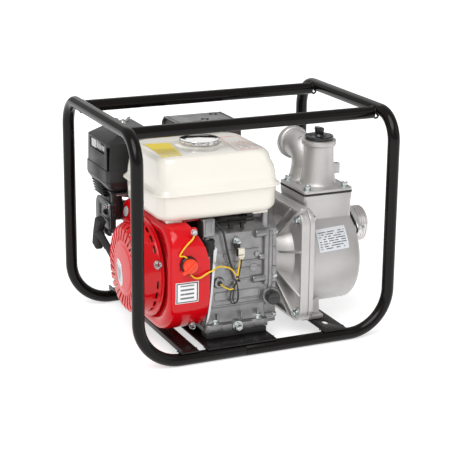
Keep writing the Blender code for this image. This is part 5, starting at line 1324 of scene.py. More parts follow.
    bolts = [hexBolt((x, engine["footEdge"] + 0.0095, engine["base"] + 0.0140), (0, 0, 1), 0.0105, 0.0055,
                     0.0088) for x in (-0.077, 0.0035)]
    bolts += [hexBolt((x, 0.0355, engine["base"] + 0.0120), (0, 0, 1), 0.0105, 0.0055,
                      0.0088) for x in (-0.077, 0.0035)]
    bolts.append(hexBolt((-0.0397, engine["footEdge"] - 0.0016, 0.0415), (0, -1, 0), 0.0125, 0.0062, 0.0095))
    bolts.append(hexBolt((-0.0367, near - 0.0055, 0.1905), (-0.15, -1, 0.25), 0.0085, 0.0045, 0.0072))
    finished(gather(bolts), "engineBolts", "unit", "steel", paint["zincSteel"])
    cover = [castingFrom("crankcase_side_cover", 0.0016, 3, 28)]
    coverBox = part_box("crankcase_side_cover")
    for y, z in engine["coverBolts"]:
        cover.append(turned([(coverBox[0].x + 0.0005, 0.0078), (coverBox[0].x + 0.0150, 0.0072),
                             (coverBox[0].x + 0.0165, 0.0062)], "x", (y, z), 28))
    cover.append(turned([(0.0960, 0.0040), (0.1000, 0.0050), (0.1920, 0.0050), (0.1960, 0.0040)], "z",
                        (0.0285, near + 0.0010), 24))
    for z in (0.068, 0.1050, 0.1350, 0.1700):
        cover.append(block((0.0190, near - 0.0022, z - 0.0016), (0.0390, near + 0.003, z + 0.0016), 0.0010))
    cover.append(turned([(near - 0.0030, 0.0150), (near + 0.003, 0.0165)], "y", (0.0303, 0.0820), 36,
                        bevel=0.0008))
    finished(gather(cover), "sideCoverBody", "unit", "casting", paint["engineAlloy"], "crankcase_side_cover",
             smoothAngle=40)
    sideBolts = [hexBolt((coverBox[0].x + 0.0165, y, z), (1, 0, 0), 0.0085, 0.0055, 0.0064) for y,
                 z in engine["coverBolts"]]
    finished(gather(sideBolts), "sideCoverBolts", "unit", "steel", paint["zincSteel"])
    # ribbed oil plug
    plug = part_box("oil_filler_plug")
    centre = ((plug[0].x + plug[1].x) / 2, (plug[0].z + plug[1].z) / 2)
    cap = turned([(plug[1].y, 0.0118), (plug[1].y - 0.003, 0.0122), (plug[0].y + 0.0035, 0.0122),
                  (plug[0].y + 0.0015, 0.0116), (plug[0].y + 0.0008, 0.0100)],
                 "y", centre, 64)
    ridges = [cap]
    for k in range(14):
        a = 2 * math.pi * k / 14
        ridge = block((0.0108, plug[0].y + 0.003, -0.0010), (0.0123, plug[1].y - 0.001, 0.0010), 0.0005)
        ridges.append(turnPiece(ridge,
                                Matrix.Translation((centre[0], 0, centre[1])) @ Matrix.Rotation(a, 4, "Y")))
    ridges.append(block((centre[0] - 0.0095, plug[0].y, centre[1] - 0.0020),
                        (centre[0] + 0.0095, plug[0].y + 0.004, centre[1] + 0.0020), 0.0012, 3))
    finished(gather(ridges), "oilPlug", "oil_plug_body", "black_plastic", paint["glossPlastic"],
             "oil_filler_plug")
    print("engine block ready")


makeCrankcase()

# Engine switch and leads.

switch = {"x": -0.140, "z": 0.1705, "near": -0.1583, "bodyRadius": 0.0149, "bodyDepth": 0.0060,
          "knobRadius": 0.0125, "knobDepth": 0.0090}
leadRoutes = {
    "switchLead": [(-0.1376, -0.1625, 0.1546), (-0.1303, -0.1645, 0.1481), (-0.1211, -0.1640, 0.1468),
                   (-0.1114, -0.1625, 0.1503),
                   (-0.1031, -0.1615, 0.1537), (-0.0940, -0.1590, 0.1555), (-0.0805, -0.1460, 0.1554),
                   (-0.0644, -0.1390, 0.1512),
                   (-0.0510, -0.1340, 0.1444), (-0.0377, -0.1300, 0.1289)],
    "earthLead": [(-0.1315, -0.1640, 0.2206), (-0.1357, -0.1645, 0.2146), (-0.1408, -0.1638, 0.2099),
                  (-0.1489, -0.1618, 0.2000), (-0.1560, -0.1616, 0.1887),
                  (-0.1491, -0.1622, 0.1872), (-0.1440, -0.1630, 0.1838)],
    "tankCable": [(-0.0775, -0.1120, 0.2290), (-0.0713, -0.1280, 0.2214), (-0.0656, -0.1320, 0.2113),
                  (-0.0622, -0.1330, 0.1971), (-0.0583, -0.1330, 0.1789),
                  (-0.0545, -0.1330, 0.1642), (-0.0501, -0.1320, 0.1509), (-0.0434, -0.1300, 0.1350),
                  (-0.0391, -0.1290, 0.1233)],
    "sensorLead": [(-0.0381, -0.1290, 0.1196), (-0.0413, -0.1300, 0.1095), (-0.0492, -0.1310, 0.1063),
                   (-0.0582, -0.1300, 0.1099),
                   (-0.0653, -0.1290, 0.1150), (-0.0692, -0.1270, 0.1188)],
    "connectorYellow": [(-0.0350, -0.1350, 0.1640), (-0.0352, -0.1335, 0.1492), (-0.0362, -0.1315, 0.1364),
                        (-0.0377, -0.1300, 0.1190)],
    "connectorBlack": [(-0.0318, -0.1350, 0.1640), (-0.0322, -0.1338, 0.1492), (-0.0338, -0.1318, 0.1364),
                       (-0.0365, -0.1302, 0.1190)],
    "loopOuter": [(-0.0385, -0.1290, 0.1185), (-0.0471, -0.1305, 0.1050), (-0.0509, -0.1310, 0.0930),
                  (-0.0490, -0.1312, 0.0836), (-0.0423, -0.1314, 0.0800),
                  (-0.0358, -0.1312, 0.0854), (-0.0350, -0.1305, 0.0996), (-0.0376, -0.1295, 0.1170)],
    "loopInner": [(-0.0385, -0.1302, 0.1185), (-0.0440, -0.1320, 0.1060), (-0.0462, -0.1330, 0.0940),
                  (-0.0450, -0.1334, 0.0845), (-0.0400, -0.1334, 0.0830),
                  (-0.0375, -0.1330, 0.0900), (-0.0368, -0.1318, 0.1020), (-0.0378, -0.1305, 0.1170)]}


def makeSwitch():
    x, z, near = switch["x"], switch["z"], switch["near"]
    back = near - switch["bodyDepth"]
    base = turned([(near, switch["bodyRadius"]), (near - 0.0035, switch["bodyRadius"]),
                   (near - 0.0045, switch["bodyRadius"] - 0.0008),
                   (back, switch["bodyRadius"] - 0.0022)], "y", (x, z), 48)
    ear = plate(roundedOutline((x, x + 0.0150), (z - 0.0060, z + 0.0060), 0.0050), "y", near - 0.0030, near,
                0.0006)
    finished(gather([ear, base]), "switchBase", "unit", "black_plastic", paint["blackPlastic"],
             "engine_switch_body")
    front = back - 0.0003
    tip = front - switch["knobDepth"]
    r = switch["knobRadius"]
    disc = turned([(front, r * 0.97), (front - 0.0010, r), (tip + 0.0030, r), (tip + 0.0012, r - 0.0008),
                   (tip + 0.0004, r - 0.0022), (tip, r - 0.0042)], "y", (x, z), 56)
    pieces = [disc]
    bar = block((x - 0.0115, tip - 0.0036, z - 0.0019), (x + 0.0102, tip + 0.001, z + 0.0019), 0.0012, 3)
    turnPiece(bar, Matrix.Translation((x, 0, z)) @ Matrix.Rotation(math.radians(-40), 4,
            "Y") @ Matrix.Translation((-x, 0, -z)))
    pointer = plate([(x - 0.0085, z - 0.0050), (x - 0.0145, z - 0.0108), (x - 0.0140, z - 0.0130),
                     (x - 0.0118, z - 0.0132), (x - 0.0035, z - 0.0100)], "y",
                    tip + 0.0010, front - 0.0010, 0.0009, 3)
    pieces += [bar, pointer]
    finished(gather(pieces[::-1]), "switchKnob", "switch_body", "red_paint", paint["redPlastic"],
             "engine_switch_knob")
    looks = {"switchLead": (0.0014, "yellowSleeve"), "earthLead": (0.0013, "yellowSleeve"),
             "tankCable": (0.0019, "blackSleeve"),
             "sensorLead": (0.0012, "yellowSleeve"), "connectorYellow": (0.0013, "yellowSleeve"),
             "connectorBlack": (0.0012, "blackSleeve"),
             "loopOuter": (0.0010, "blackSleeve"), "loopInner": (0.0010, "blackSleeve")}
    for name, (radius, finish) in looks.items():
        lead = wire(leadRoutes[name], radius, 14)
        nodes = ("switch_lead",) if name == "switchLead" else ()
        finished(lead, name, "unit", "wire", paint[finish], *nodes, smoothAngle=60)
    body = [block((-0.0400, -0.1410, 0.1640), (-0.0280, -0.1320, 0.1800), 0.0018, 3),
            block((-0.0375, -0.1395, 0.1610), (-0.0298, -0.1330, 0.1660), 0.0010)]
    finished(gather(body), "leadConnector", "unit", "wire", paint["creamNylon"])
    clip = [block((-0.0412, -0.1400, 0.1665), (-0.0396, -0.1330, 0.1800), 0.0006),
            block((-0.0400, -0.1418, 0.1690), (-0.0310, -0.1404, 0.1700), 0.0004),
            block((-0.0436, -0.1330, 0.1780), (-0.0330, -0.1285, 0.1880), 0.0015)]
    finished(gather(clip), "connectorClip", "unit", "black_plastic", paint["blackPlastic"])
    ties = []
    for z0 in (0.1195, 0.1265):
        ring = turned([(z0, 0.0033), (z0 + 0.0030, 0.0033), (z0 + 0.0030, 0.0026), (z0, 0.0026)], "z",
                      (-0.0378, -0.1300), 24, ringShape=True)
        ties.append(ring)
    ties.append(block((-0.0358, -0.1345, 0.1190), (-0.0332, -0.1310, 0.1228), 0.0006))
    finished(gather(ties), "leadTies", "unit", "wire", paint["blackSleeve"])
    sleeve = wire([(-0.0450, -0.1306, 0.1400), (-0.0420, -0.1300, 0.1320), (-0.0392, -0.1296, 0.1240)],
                  0.0024, 12)
    finished(sleeve, "leadSleeve", "unit", "wire", paint["warmSteel"])
    terminal = [turned([(0, 0.0034), (0.0008, 0.0034), (0.0008, 0.0018), (0, 0.0018)], "z", (0, 0), 24,
                       ringShape=True)]
    turnPiece(terminal[0], Matrix.Translation((-0.1295, -0.1592, 0.2240)) @ lookAlong((0, -1, 0)))
    terminal.append(wire([(-0.1300, -0.1596, 0.2215), (-0.1308, -0.1610, 0.2190),
                          (-0.1322, -0.1628, 0.2170)], 0.0013, 8))
    finished(gather(terminal), "earthTerminal", "unit", "steel", paint["zincSteel"])
    outline = printedFinish("stickerSwitch", (0.80, 0.80, 0.81), (0.12, 0.12, 0.13), rows=5, margin=0.03,
                            outline=0.05,
                            outlineInk=(0.03, 0.03, 0.03), area=(0.2, 0.14, 0.8, 0.86), amount=0.3)
    corners = [(-0.162, near - 0.001, 0.1030), (-0.121, near - 0.001, 0.1030),
               (-0.121, near - 0.001, 0.1400), (-0.162, near - 0.001, 0.1400)]
    sheet = labelSheet(corners, bpy.data.objects["shroudShell"], (0, 1, 0))
    finished(sheet, "switchSticker", "unit", "red_paint", outline)
    print("switch and leads ready")


makeSwitch()


# Recoil badge, bolts, cooling fan and pull handle.

starter = {"tilt": math.radians(19), "grip": (-0.2055, 0.0991, 0.1616), "gripHalf": 0.0300, "bow": 0.0060,
           "stem": 0.0740,
           "badge": (-0.0335, 0.1290), "badgeHalf": (0.0115, 0.0235), "badgeTilt": -20, "fanBlades": 22}


def makeStarter():
    cy, cz = shroud["crank"]
    front = recoil["front"]
    by, bz = starter["badge"]
    halfY, halfZ = starter["badgeHalf"]
    turnBadge = Matrix.Translation((0, by, bz)) @ Matrix.Rotation(math.radians(starter["badgeTilt"]), 4, "X")
    for name, grow, lift, finish in (("recoilBadgeRim", 0.0010, 0.0004, "cutAlloy"),
                                     ("recoilBadge", 0.0, 0.0007, "labelSilver")):
        oval = [((halfY + grow) * math.cos(2 * math.pi * k / 48),
                 (halfZ + grow) * math.sin(2 * math.pi * k / 48)) for k in range(48)]
        finished(turnPiece(plate(oval, "x", front - lift, front + 0.0004, 0.0002), turnBadge), name, "unit",
                 "red_paint", paint[finish])
    bars = []
    for u, v0, v1 in ((0.0045, -0.012, 0.014), (0.0010, -0.016, 0.010), (-0.0030, -0.009, 0.006),
                      (-0.0060, -0.004, 0.009)):
        bars.append(turnPiece(plate(roundedOutline((u - 0.0008, u + 0.0008), (v0, v1), 0.0006, 3), "x",
                                    front - 0.0009, front - 0.0006), turnBadge.copy()))
    finished(gather(bars), "recoilBadgePrint", "unit", "red_paint", paint["printGrey"])
    bolts = []
    for degrees in recoil["bolts"]:
        a = math.radians(degrees)
        out = Vector((0, math.cos(a), math.sin(a)))
        place = Vector((-0.1790, cy, cz)) + out * (recoil["radius"] - 0.0006)
        bolts.append(hexBolt(place, out, 0.0095, 0.0048, 0.0080))
    finished(gather(bolts), "recoilBolts", "unit", "steel", paint["zincSteel"])
    pads = []
    for degrees in recoil["bolts"]:
        pad = plate(roundedOutline((-0.0105, 0.0105), (-0.1885, -0.1735), 0.0040, 4), "z",
                    recoil["radius"] - 0.003, recoil["radius"] + 0.0003, 0.0012)
        turnPiece(pad, outwards)
        pads.append(turnPiece(pad,
                              Matrix.Translation((0, cy, cz)) @ Matrix.Rotation(math.radians(degrees), 4,
                                      "X")))
    finished(gather(pads), "recoilPads", "unit", "red_paint", paint["redPaint"])
    fan = [turned([(-0.2020, 0.0715), (-0.2010, 0.0722), (-0.1800, 0.0722), (-0.1790, 0.0712),
                   (-0.1800, 0.0698), (-0.2010, 0.0698)], "x", (cy, cz), 72, ringShape=True),
           turned([(-0.1915, 0.0705), (-0.1900, 0.0705), (-0.1780, 0.0380), (-0.1760, 0.0370),
                   (-0.1775, 0.0365), (-0.1800, 0.0380)], "x", (cy, cz), 72, ringShape=True)]
    for k in range(starter["fanBlades"]):
        a = 2 * math.pi * k / starter["fanBlades"]
        blade = plate([(0.042, -0.0014), (0.0708, 0.0062), (0.0708, 0.0086), (0.042, 0.0010)], "x", -0.2015,
                      -0.1830, 0.0004)
        fan.append(turnPiece(blade, Matrix.Translation((0, cy, cz)) @ Matrix.Rotation(a, 4, "X")))
    finished(gather(fan), "coolingFan", "rotor", "cream_paint", paint["fanCream"])
    screen = turned([(-0.2102, 0.0710), (-0.2102, 0.0430), (-0.2090, 0.0430), (-0.2090, 0.0710)], "x",
                    (cy, cz), 72, ringShape=True)
    finished(screen, "recoilScreen", "unit", "cream_paint", paint["fanCream"])
    lobe = plate([(0.028, 0.150), (0.060, 0.160), (0.071, 0.182), (0.0715, 0.205), (0.062, 0.226),
                  (0.046, 0.2352), (0.024, 0.2352)], "x", -0.1720, -0.1610, 0.0035, 4)
    finished(lobe, "shroudLobe", "unit", "red_paint", paint["redPaint"], smoothAngle=60)
    for name, grow, lift, finish in (("lobeBadgeRim", 0.0012, 0.0004, "glossPlastic"),
                                     ("lobeBadge", 0.0, 0.0007, "labelSilver")):
        oval = [((0.0135 + grow) * math.cos(2 * math.pi * k / 40),
                 (0.0085 + grow) * math.sin(2 * math.pi * k / 40)) for k in range(40)]
        place = Matrix.Translation((0, 0.0500, 0.2110)) @ Matrix.Rotation(math.radians(-35), 4, "X")
        finished(turnPiece(plate(oval, "x", -0.1720 - lift, -0.1718, 0.0001), place), name, "unit",
                 "red_paint", paint[finish])
    pull = Vector((0, math.cos(starter["tilt"]), math.sin(starter["tilt"])))
    across = Vector((0, -math.sin(starter["tilt"]), math.cos(starter["tilt"])))
    centre = Vector(starter["grip"])
    sections = []
    for k in range(17):
        f = k / 8 - 1
        point = centre + across * f * starter["gripHalf"] + pull * starter["bow"] * (1 - f * f)
        flare = abs(f) ** 3
        end = 1 - 0.28 * max(0, abs(f) - 0.875) / 0.125
        halfU = (0.0080 + 0.0009 * flare) * end
        halfV = (0.0092 + 0.0028 * flare) * end
        sections.append([point + Vector((u, 0, 0)) + pull * v for u,
                         v in roundedOutline((-halfU, halfU), (-halfV, halfV), min(halfU, halfV) * 0.62, 5)])
    grip = lofted(sections)
    stem = turned([(0.0, 0.0076), (0.006, 0.0076), (0.014, 0.0066), (0.024, 0.0058), (0.050, 0.0055),
                   (starter["stem"] - 0.002, 0.0055), (starter["stem"], 0.0046)],
                  "z", (0, 0), 32)
    turnPiece(stem, Matrix.Translation(centre) @ lookAlong(-pull))
    ridges = []
    for k in range(5):
        ring = turned([(0.018 + 0.006 * k, 0.0060), (0.0186 + 0.006 * k, 0.0066),
                       (0.0198 + 0.006 * k, 0.0066), (0.0204 + 0.006 * k, 0.0060)], "z", (0, 0), 32)
        ridges.append(turnPiece(ring, Matrix.Translation(centre) @ lookAlong(-pull)))
    finished(gather([stem] + ridges + [grip]), "pullHandle", "starter_grip", "rubber", paint["blackRubber"],
             "starter_handle", smoothAngle=45)
    # rope: a cord from inside the housing out to the grip
    inner, hole, neck, outer = (centre - pull * reach for reach in (0.1420, 0.1000, starter["stem"] + 0.0020,
            0.0600))
    rope = wire([inner, (inner + hole) / 2, hole, neck, outer], 0.0020, 12, smooth=False)
    rope.name = rope.data.name = "starterRope"
    rope.data.materials.clear()
    rope.data.materials.append(paint["ropeCord"])
    pickOnly(rope)
    bpy.ops.object.shade_smooth_by_angle(angle=math.radians(60))
    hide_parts("starter_rope")
    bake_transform(rope)
    print("starter details ready")


makeStarter()


# Air cleaner.

cleaner = {"x": (-0.2050, -0.0950), "y": (0.0560, 0.1700), "seam": 0.2620, "edge": 0.3320, "top": 0.3545,
           "badgeY": (0.0740, 0.1490), "badgeZ": (0.3105, 0.3290), "nut": (-0.157, 0.103),
           "carb": (0.092, 0.203)}


def cleanerRing(z, inset, corner):
    us = (cleaner["x"][0] + inset, cleaner["x"][1] - inset)
    vs = (cleaner["y"][0] + inset, cleaner["y"][1] - inset)
    return [(u, v, z) for u, v in roundedOutline(us, vs, corner, 6)]


def makeCleaner():
    x0, x1 = cleaner["x"]
    y0, y1 = cleaner["y"]
    seam, edge, top = cleaner["seam"], cleaner["edge"], cleaner["top"]
    cover = lofted([cleanerRing(seam, 0.0008, 0.0085), cleanerRing(seam + 0.0010, 0.0, 0.0085),
                    cleanerRing(seam + 0.0215, 0.0003, 0.0085),
                    cleanerRing(seam + 0.0225, 0.0018, 0.0080), cleanerRing(edge, 0.0026, 0.0075),
                    cleanerRing(top, 0.0030, 0.0070)])
    # roof slopes on all four sides, the one with the badge the longest
    slopes = [plate([(x0 - 0.01, edge - 0.004), (x0 + 0.002, edge - 0.001), (x0 + 0.045, top),
                     (x0 + 0.045, top + 0.02), (x0 - 0.01, top + 0.02)], "y", y0 - 0.01, y1 + 0.01),
              plate([(x1 + 0.01, edge - 0.004), (x1 - 0.002, edge - 0.001), (x1 - 0.030, top),
                     (x1 - 0.030, top + 0.02), (x1 + 0.01, top + 0.02)], "y", y0 - 0.01, y1 + 0.01),
              plate([(y0 - 0.01, edge - 0.008), (y0 + 0.003, edge - 0.001), (y0 + 0.026, top),
                     (y0 + 0.026, top + 0.02), (y0 - 0.01, top + 0.02)], "x", x0 - 0.01, x1 + 0.01),
              plate([(y1 + 0.01, edge - 0.008), (y1 - 0.003, edge - 0.001), (y1 - 0.026, top),
                     (y1 - 0.026, top + 0.02), (y1 + 0.01, top + 0.02)], "x", x0 - 0.01, x1 + 0.01)]
    carve(cover, block((x0 + 0.0030, y0 + 0.0030, seam - 0.010), (x1 - 0.0030, y1 - 0.0030, 0.3260)))
    by0, by1 = cleaner["badgeY"]
    bz0, bz1 = cleaner["badgeZ"]
    pocket = plate(roundedOutline((by0, by1), (bz0, bz1), 0.0022, 4), "x", x0 - 0.01, x0 + 0.0052)
    carve(cover, *slopes, pocket)
    soften(cover, 0.0016, 3, 24)
    ribs = [cover]
    for y in (y0 + 0.030, y1 - 0.030):
        ribs.append(block((x0 + 0.052, y - 0.0016, top - 0.004),
                          (x1 - 0.036, y + 0.0016, top + 0.0006 - 0.0008), 0.0006))
    for side, y in ((-1, y0 + 0.0022), (1, y1 - 0.0022)):
        for k in range(5):
            x = x1 - 0.024 - 0.009 * k
            ribs.append(block((x - 0.0013, y - 0.0016, seam + 0.010), (x + 0.0013, y + 0.0016, edge - 0.012),
                              0.0008))
    finished(gather(ribs[::-1]), "cleanerCover", "cleaner_cover_body", "black_plastic",
             paint["cleanerBlack"], "air_cleaner_cover", smoothAngle=30)
    # badge in its pocket: silver part and dark part with pale print
    badge = plate(roundedOutline((by0 + 0.0004, by1 - 0.0004), (bz0 + 0.0004, bz1 - 0.0004), 0.0018, 4), "x",
                  x0 + 0.0040, x0 + 0.0060, 0.0002)
    finished(badge, "cleanerBadge", "cleaner_cover_body", "black_plastic", paint["glossPlastic"])
    silver = [plate(roundedOutline((by1 - 0.0280, by1 - 0.0020), (bz0 + 0.0022, bz1 - 0.0022), 0.0010, 3),
                    "x", x0 + 0.0037, x0 + 0.0042)]
    for k in range(5):
        y = by0 + 0.0040 + 0.0082 * k
        silver.append(plate(roundedOutline((y, y + 0.0052), (bz0 + 0.0050, bz1 - 0.0052), 0.0008, 3), "x",
                            x0 + 0.0037, x0 + 0.0042))
    finished(gather(silver), "cleanerBadgePrint", "cleaner_cover_body", "black_plastic", paint["labelSilver"])
    base = lofted([cleanerRing(0.2410, 0.0220, 0.0100), cleanerRing(0.2418, 0.0170, 0.0110),
                   cleanerRing(0.2450, 0.0110, 0.0120),
                   cleanerRing(0.2500, 0.0062, 0.0110), cleanerRing(0.2560, 0.0026, 0.0095),
                   cleanerRing(0.2600, 0.0008, 0.0085), cleanerRing(seam - 0.0004, 0.0008, 0.0085)])
    y, z = cleaner["carb"]
    parts = [base]
    for k in range(6):
        zr = 0.2545 - 0.0052 * k
        parts.append(block((x0 + 0.0030 + 0.0012 * k, 0.0960, zr - 0.0010),
                           (x0 + 0.030, 0.1520, zr + 0.0010), 0.0006))
    elbow = [block((x0 + 0.0180, y - 0.0195, z - 0.0150), (-0.1686, y + 0.0195, 0.2430), 0.0080, 4),
             block((x0 + 0.0186, 0.0680, 0.1620), (x0 + 0.0206, 0.1440, 0.2300), 0.0009),
             turned([(x0 + 0.0172, 0.0120), (x0 + 0.0172, 0.0165), (x0 + 0.0200, 0.0185), (-0.1686, 0.0185),
                     (-0.1686, 0.0120)], "x", (y, z), 48)]
    parts += elbow
    parts.append(turned([(x0 + 0.0050, 0.0046), (x0 + 0.0060, 0.0056), (x0 + 0.0180, 0.0056)], "x",
                        (0.0620, 0.2206), 28, bevel=0.0005))
    parts.append(block((x0 + 0.0100, 0.0585, 0.2050), (x0 + 0.0180, 0.0665, 0.2420), 0.0012))
    finished(gather(parts[::-1]), "cleanerBase", "unit", "black_plastic", paint["cleanerBlack"],
             "air_cleaner_base", smoothAngle=35)
    lid = [plate(roundedOutline((x0 + 0.0150, x1 - 0.0160), (y0 + 0.0035, y0 + 0.0750), 0.0100, 5), "z",
                 0.2372, 0.2392, 0.0005)]
    lid.append(turned([(0.2300, 0.0150), (0.2330, 0.0210), (0.2374, 0.0245)], "z", (-0.1550, 0.0850), 40))
    finished(gather(lid), "cleanerBottomPlate", "unit", "steel", paint["warmSteel"])
    stud = [turned([(x0 - 0.0042, 0.0014), (x0 - 0.0036, 0.0019), (x0 + 0.0060, 0.0019)], "x",
                   (0.0620, 0.2206), 20),
            hexBolt((x0 + 0.0050, 0.0620, 0.2206), (-1, 0, 0), 0.0072, 0.0032, 0.0052)]
    finished(gather(stud), "cleanerStud", "unit", "steel", paint["zincSteel"])
    nx, ny = cleaner["nut"]
    low = top + 0.0003
    hub = turned([(low, 0.0060), (low + 0.0008, 0.0068), (low + 0.0050, 0.0056), (low + 0.0070, 0.0046),
                  (low + 0.0070, 0.0026)], "z", (nx, ny), 32)
    wings = [hub]
    for side in (-1, 1):
        outline = [(0.0030, 0.0015), (0.0100, 0.0052), (0.0140, 0.0098), (0.0147, 0.0132), (0.0128, 0.0143),
                   (0.0092, 0.0128), (0.0062, 0.0090), (0.0030, 0.0060)]
        wings.append(plate([(nx + side * u, low + v) for u, v in outline], "y", ny - 0.0012, ny + 0.0012,
                           0.0005, 2))
    wings.append(rod("z", (nx, ny), 0.0024, low + 0.0040, low + 0.0110, 20, 0.0003))
    finished(gather(wings[::-1]), "wingNut", "wing_nut_body", "steel", paint["zincSteel"], "wing_nut")
    washer = turned([(top - 0.0030, 0.0095), (top - 0.0002, 0.0092)], "z", (nx, ny), 36, bevel=0.0002)
    finished(washer, "cleanerWasher", "cleaner_cover_body", "steel", paint["zincSteel"])
    print("air cleaner ready")


makeCleaner()


# Carburettor, its guard and levers.

def makeCarburettor():
    y, z = cleaner["carb"]
    x0, x1 = -0.1680, -0.0808
    body = [turned([(x0, 0.0150), (x0 + 0.0012, 0.0160), (x0 + 0.012, 0.0160), (x0 + 0.018, 0.0135),
                    (x1 - 0.024, 0.0135), (x1 - 0.010, 0.0158), (x1 - 0.006, 0.0160)], "x", (y, z), 48),
            plate(roundedOutline((y - 0.0200, y + 0.0200), (z - 0.0240, z + 0.0220), 0.0060, 5), "x",
                  x1 - 0.0065, x1, 0.0010),
            plate(roundedOutline((y - 0.0185, y + 0.0185), (z - 0.0185, z + 0.0185), 0.0060, 5), "x",
                  x0 + 0.0002, x0 + 0.0055, 0.0010),
            block((x0 + 0.014, y - 0.0150, z - 0.0145), (x1 - 0.022, y + 0.0150, z + 0.0120), 0.0035, 3),
            turned([(z + 0.008, 0.0080), (z + 0.0205, 0.0074), (z + 0.0215, 0.0060)], "z", (x0 + 0.026, y),
                   32),
            turned([(z + 0.008, 0.0070), (z + 0.0175, 0.0066), (z + 0.0185, 0.0056)], "z",
                   (x0 + 0.048, y + 0.003), 32),
            turned([(z - 0.0200, 0.0150), (z - 0.0180, 0.0196), (z - 0.0120, 0.0196), (z - 0.0100, 0.0170)],
                   "z", (x0 + 0.032, y), 48)]
    body.append(rod("y", (x0 + 0.020, z + 0.006), 0.0042, y - 0.0215, y + 0.0215, 24, 0.0005))
    body.append(rod("y", (x1 - 0.020, z + 0.010), 0.0042, y - 0.0205, y + 0.0220, 24, 0.0005))
    finished(gather(body[::-1]), "carburettorBody", "unit", "casting", paint["engineAlloy"], "carburettor")
    bowl = turned([(z - 0.0478, 0.0060), (z - 0.0478, 0.0125), (z - 0.0465, 0.0145), (z - 0.0410, 0.0180),
                   (z - 0.0385, 0.0187), (z - 0.0205, 0.0187), (z - 0.0203, 0.0160)],
                  "z", (x0 + 0.032, y), 64)
    finished(bowl, "floatBowl", "unit", "steel", paint["warmSteel"])
    brassParts = [rod("z", (x0 + 0.026, y), 0.0030, z + 0.0210, z + 0.0245, 20, 0.0004),
                  rod("z", (x0 + 0.048, y + 0.003), 0.0026, z + 0.0180, z + 0.0215, 20, 0.0004),
                  block((x0 + 0.006, y - 0.0235, z + 0.0140), (x0 + 0.034, y - 0.0220, z + 0.0175), 0.0006),
                  block((x0 + 0.0050, y - 0.0260, z + 0.0115), (x0 + 0.0090, y - 0.0220, z + 0.0200), 0.0006),
                  wire([(x0 + 0.010, y - 0.0250, z + 0.0185), (x0 + 0.022, y - 0.0262, z + 0.0150),
                        (x0 + 0.038, y - 0.0250, z + 0.0165), (x0 + 0.052, y - 0.0200, z + 0.0120)], 0.0009,
                        8),
                  hexBolt((x0 + 0.032, y, z - 0.0478), (0, 0, -1), 0.0090, 0.0030, 0.0060),
                  hexBolt((x0 + 0.0440, y - 0.0180, z - 0.0400), (0.5, -1, 0), 0.0070, 0.0035, 0.0050)]
    finished(gather(brassParts), "carburettorBrass", "unit", "steel", paint["brass"])
    screws = [panBolt((x0 + 0.020, y - 0.0215, z + 0.006), (0, -1, 0), 0.0036, 0.0020),
              panBolt((x1 - 0.020, y - 0.0205, z + 0.010), (0, -1, 0), 0.0036, 0.0020),
              hexBolt((x1 - 0.0068, y - 0.0150, z - 0.0190), (-1, 0, 0), 0.0080, 0.0050, 0.0062),
              hexBolt((x1 - 0.0068, y + 0.0150, z + 0.0160), (-1, 0, 0), 0.0080, 0.0050, 0.0062)]
    finished(gather(screws), "carburettorScrews", "unit", "steel", paint["zincSteel"])
    spring = []
    for k in range(49):
        a = 2 * math.pi * k / 8
        spring.append((x0 + 0.040 + 0.0006 * k, y - 0.0225 + 0.0018 * math.cos(a),
                       z + 0.0080 + 0.0018 * math.sin(a)))
    finished(wire(spring, 0.0004, 6), "throttleSpring", "unit", "steel", paint["brightSteel"])
    insulator = plate(roundedOutline((y - 0.0230, y + 0.0230), (z - 0.0260, z + 0.0250), 0.0060, 5), "x",
                      x1 + 0.0002, x1 + 0.0060, 0.0006)
    finished(insulator, "carburettorInsulator", "unit", "black_plastic", paint["blackPlastic"])
    guard = castingFrom("carburettor_guard", 0.0005, 2, 28)
    bars = [guard, block((-0.1958, 0.0700, 0.1880), (-0.1940, 0.1240, 0.1905), 0.0006)]
    bars.append(plate(roundedOutline((0.0600, 0.0700), (0.1640, 0.2180), 0.0040, 4), "x", -0.1975, -0.1955,
                      0.0005))
    bars.append(turned([(-0.1998, 0.0030), (-0.1990, 0.0042), (-0.1955, 0.0042)], "x", (0.0650, 0.1720), 24))
    finished(gather(bars[::-1]), "carburettorGuard", "unit", "black_plastic", paint["cleanerBlack"],
             "carburettor_guard")
    for node, body, finish in (("choke_lever", "choke_body", "blackPlastic"),
                               ("fuel_valve_lever", "fuel_valve_body", "blackPlastic"),
                               ("throttle_lever", "throttle_body", "glossPlastic")):
        lever = castingFrom(node, 0.0006, 2, 28)
        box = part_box(node)
        tab = block((box[0].x + 0.0008, box[1].y - 0.0030, box[0].z + 0.0012),
                    (box[0].x + 0.0090, box[1].y - 0.0004, box[0].z + 0.0090), 0.0010)
        name = {"choke_lever": "chokeLever", "fuel_valve_lever": "fuelValveLever",
                "throttle_lever": "throttleLever"}[node]
        slotName = "red_paint" if node == "throttle_lever" else "black_plastic"
        finished(gather([tab, lever]), name, body, slotName, paint[finish], node)
    print("carburettor ready")


makeCarburettor()


# Muffler, cylinder head and ignition.

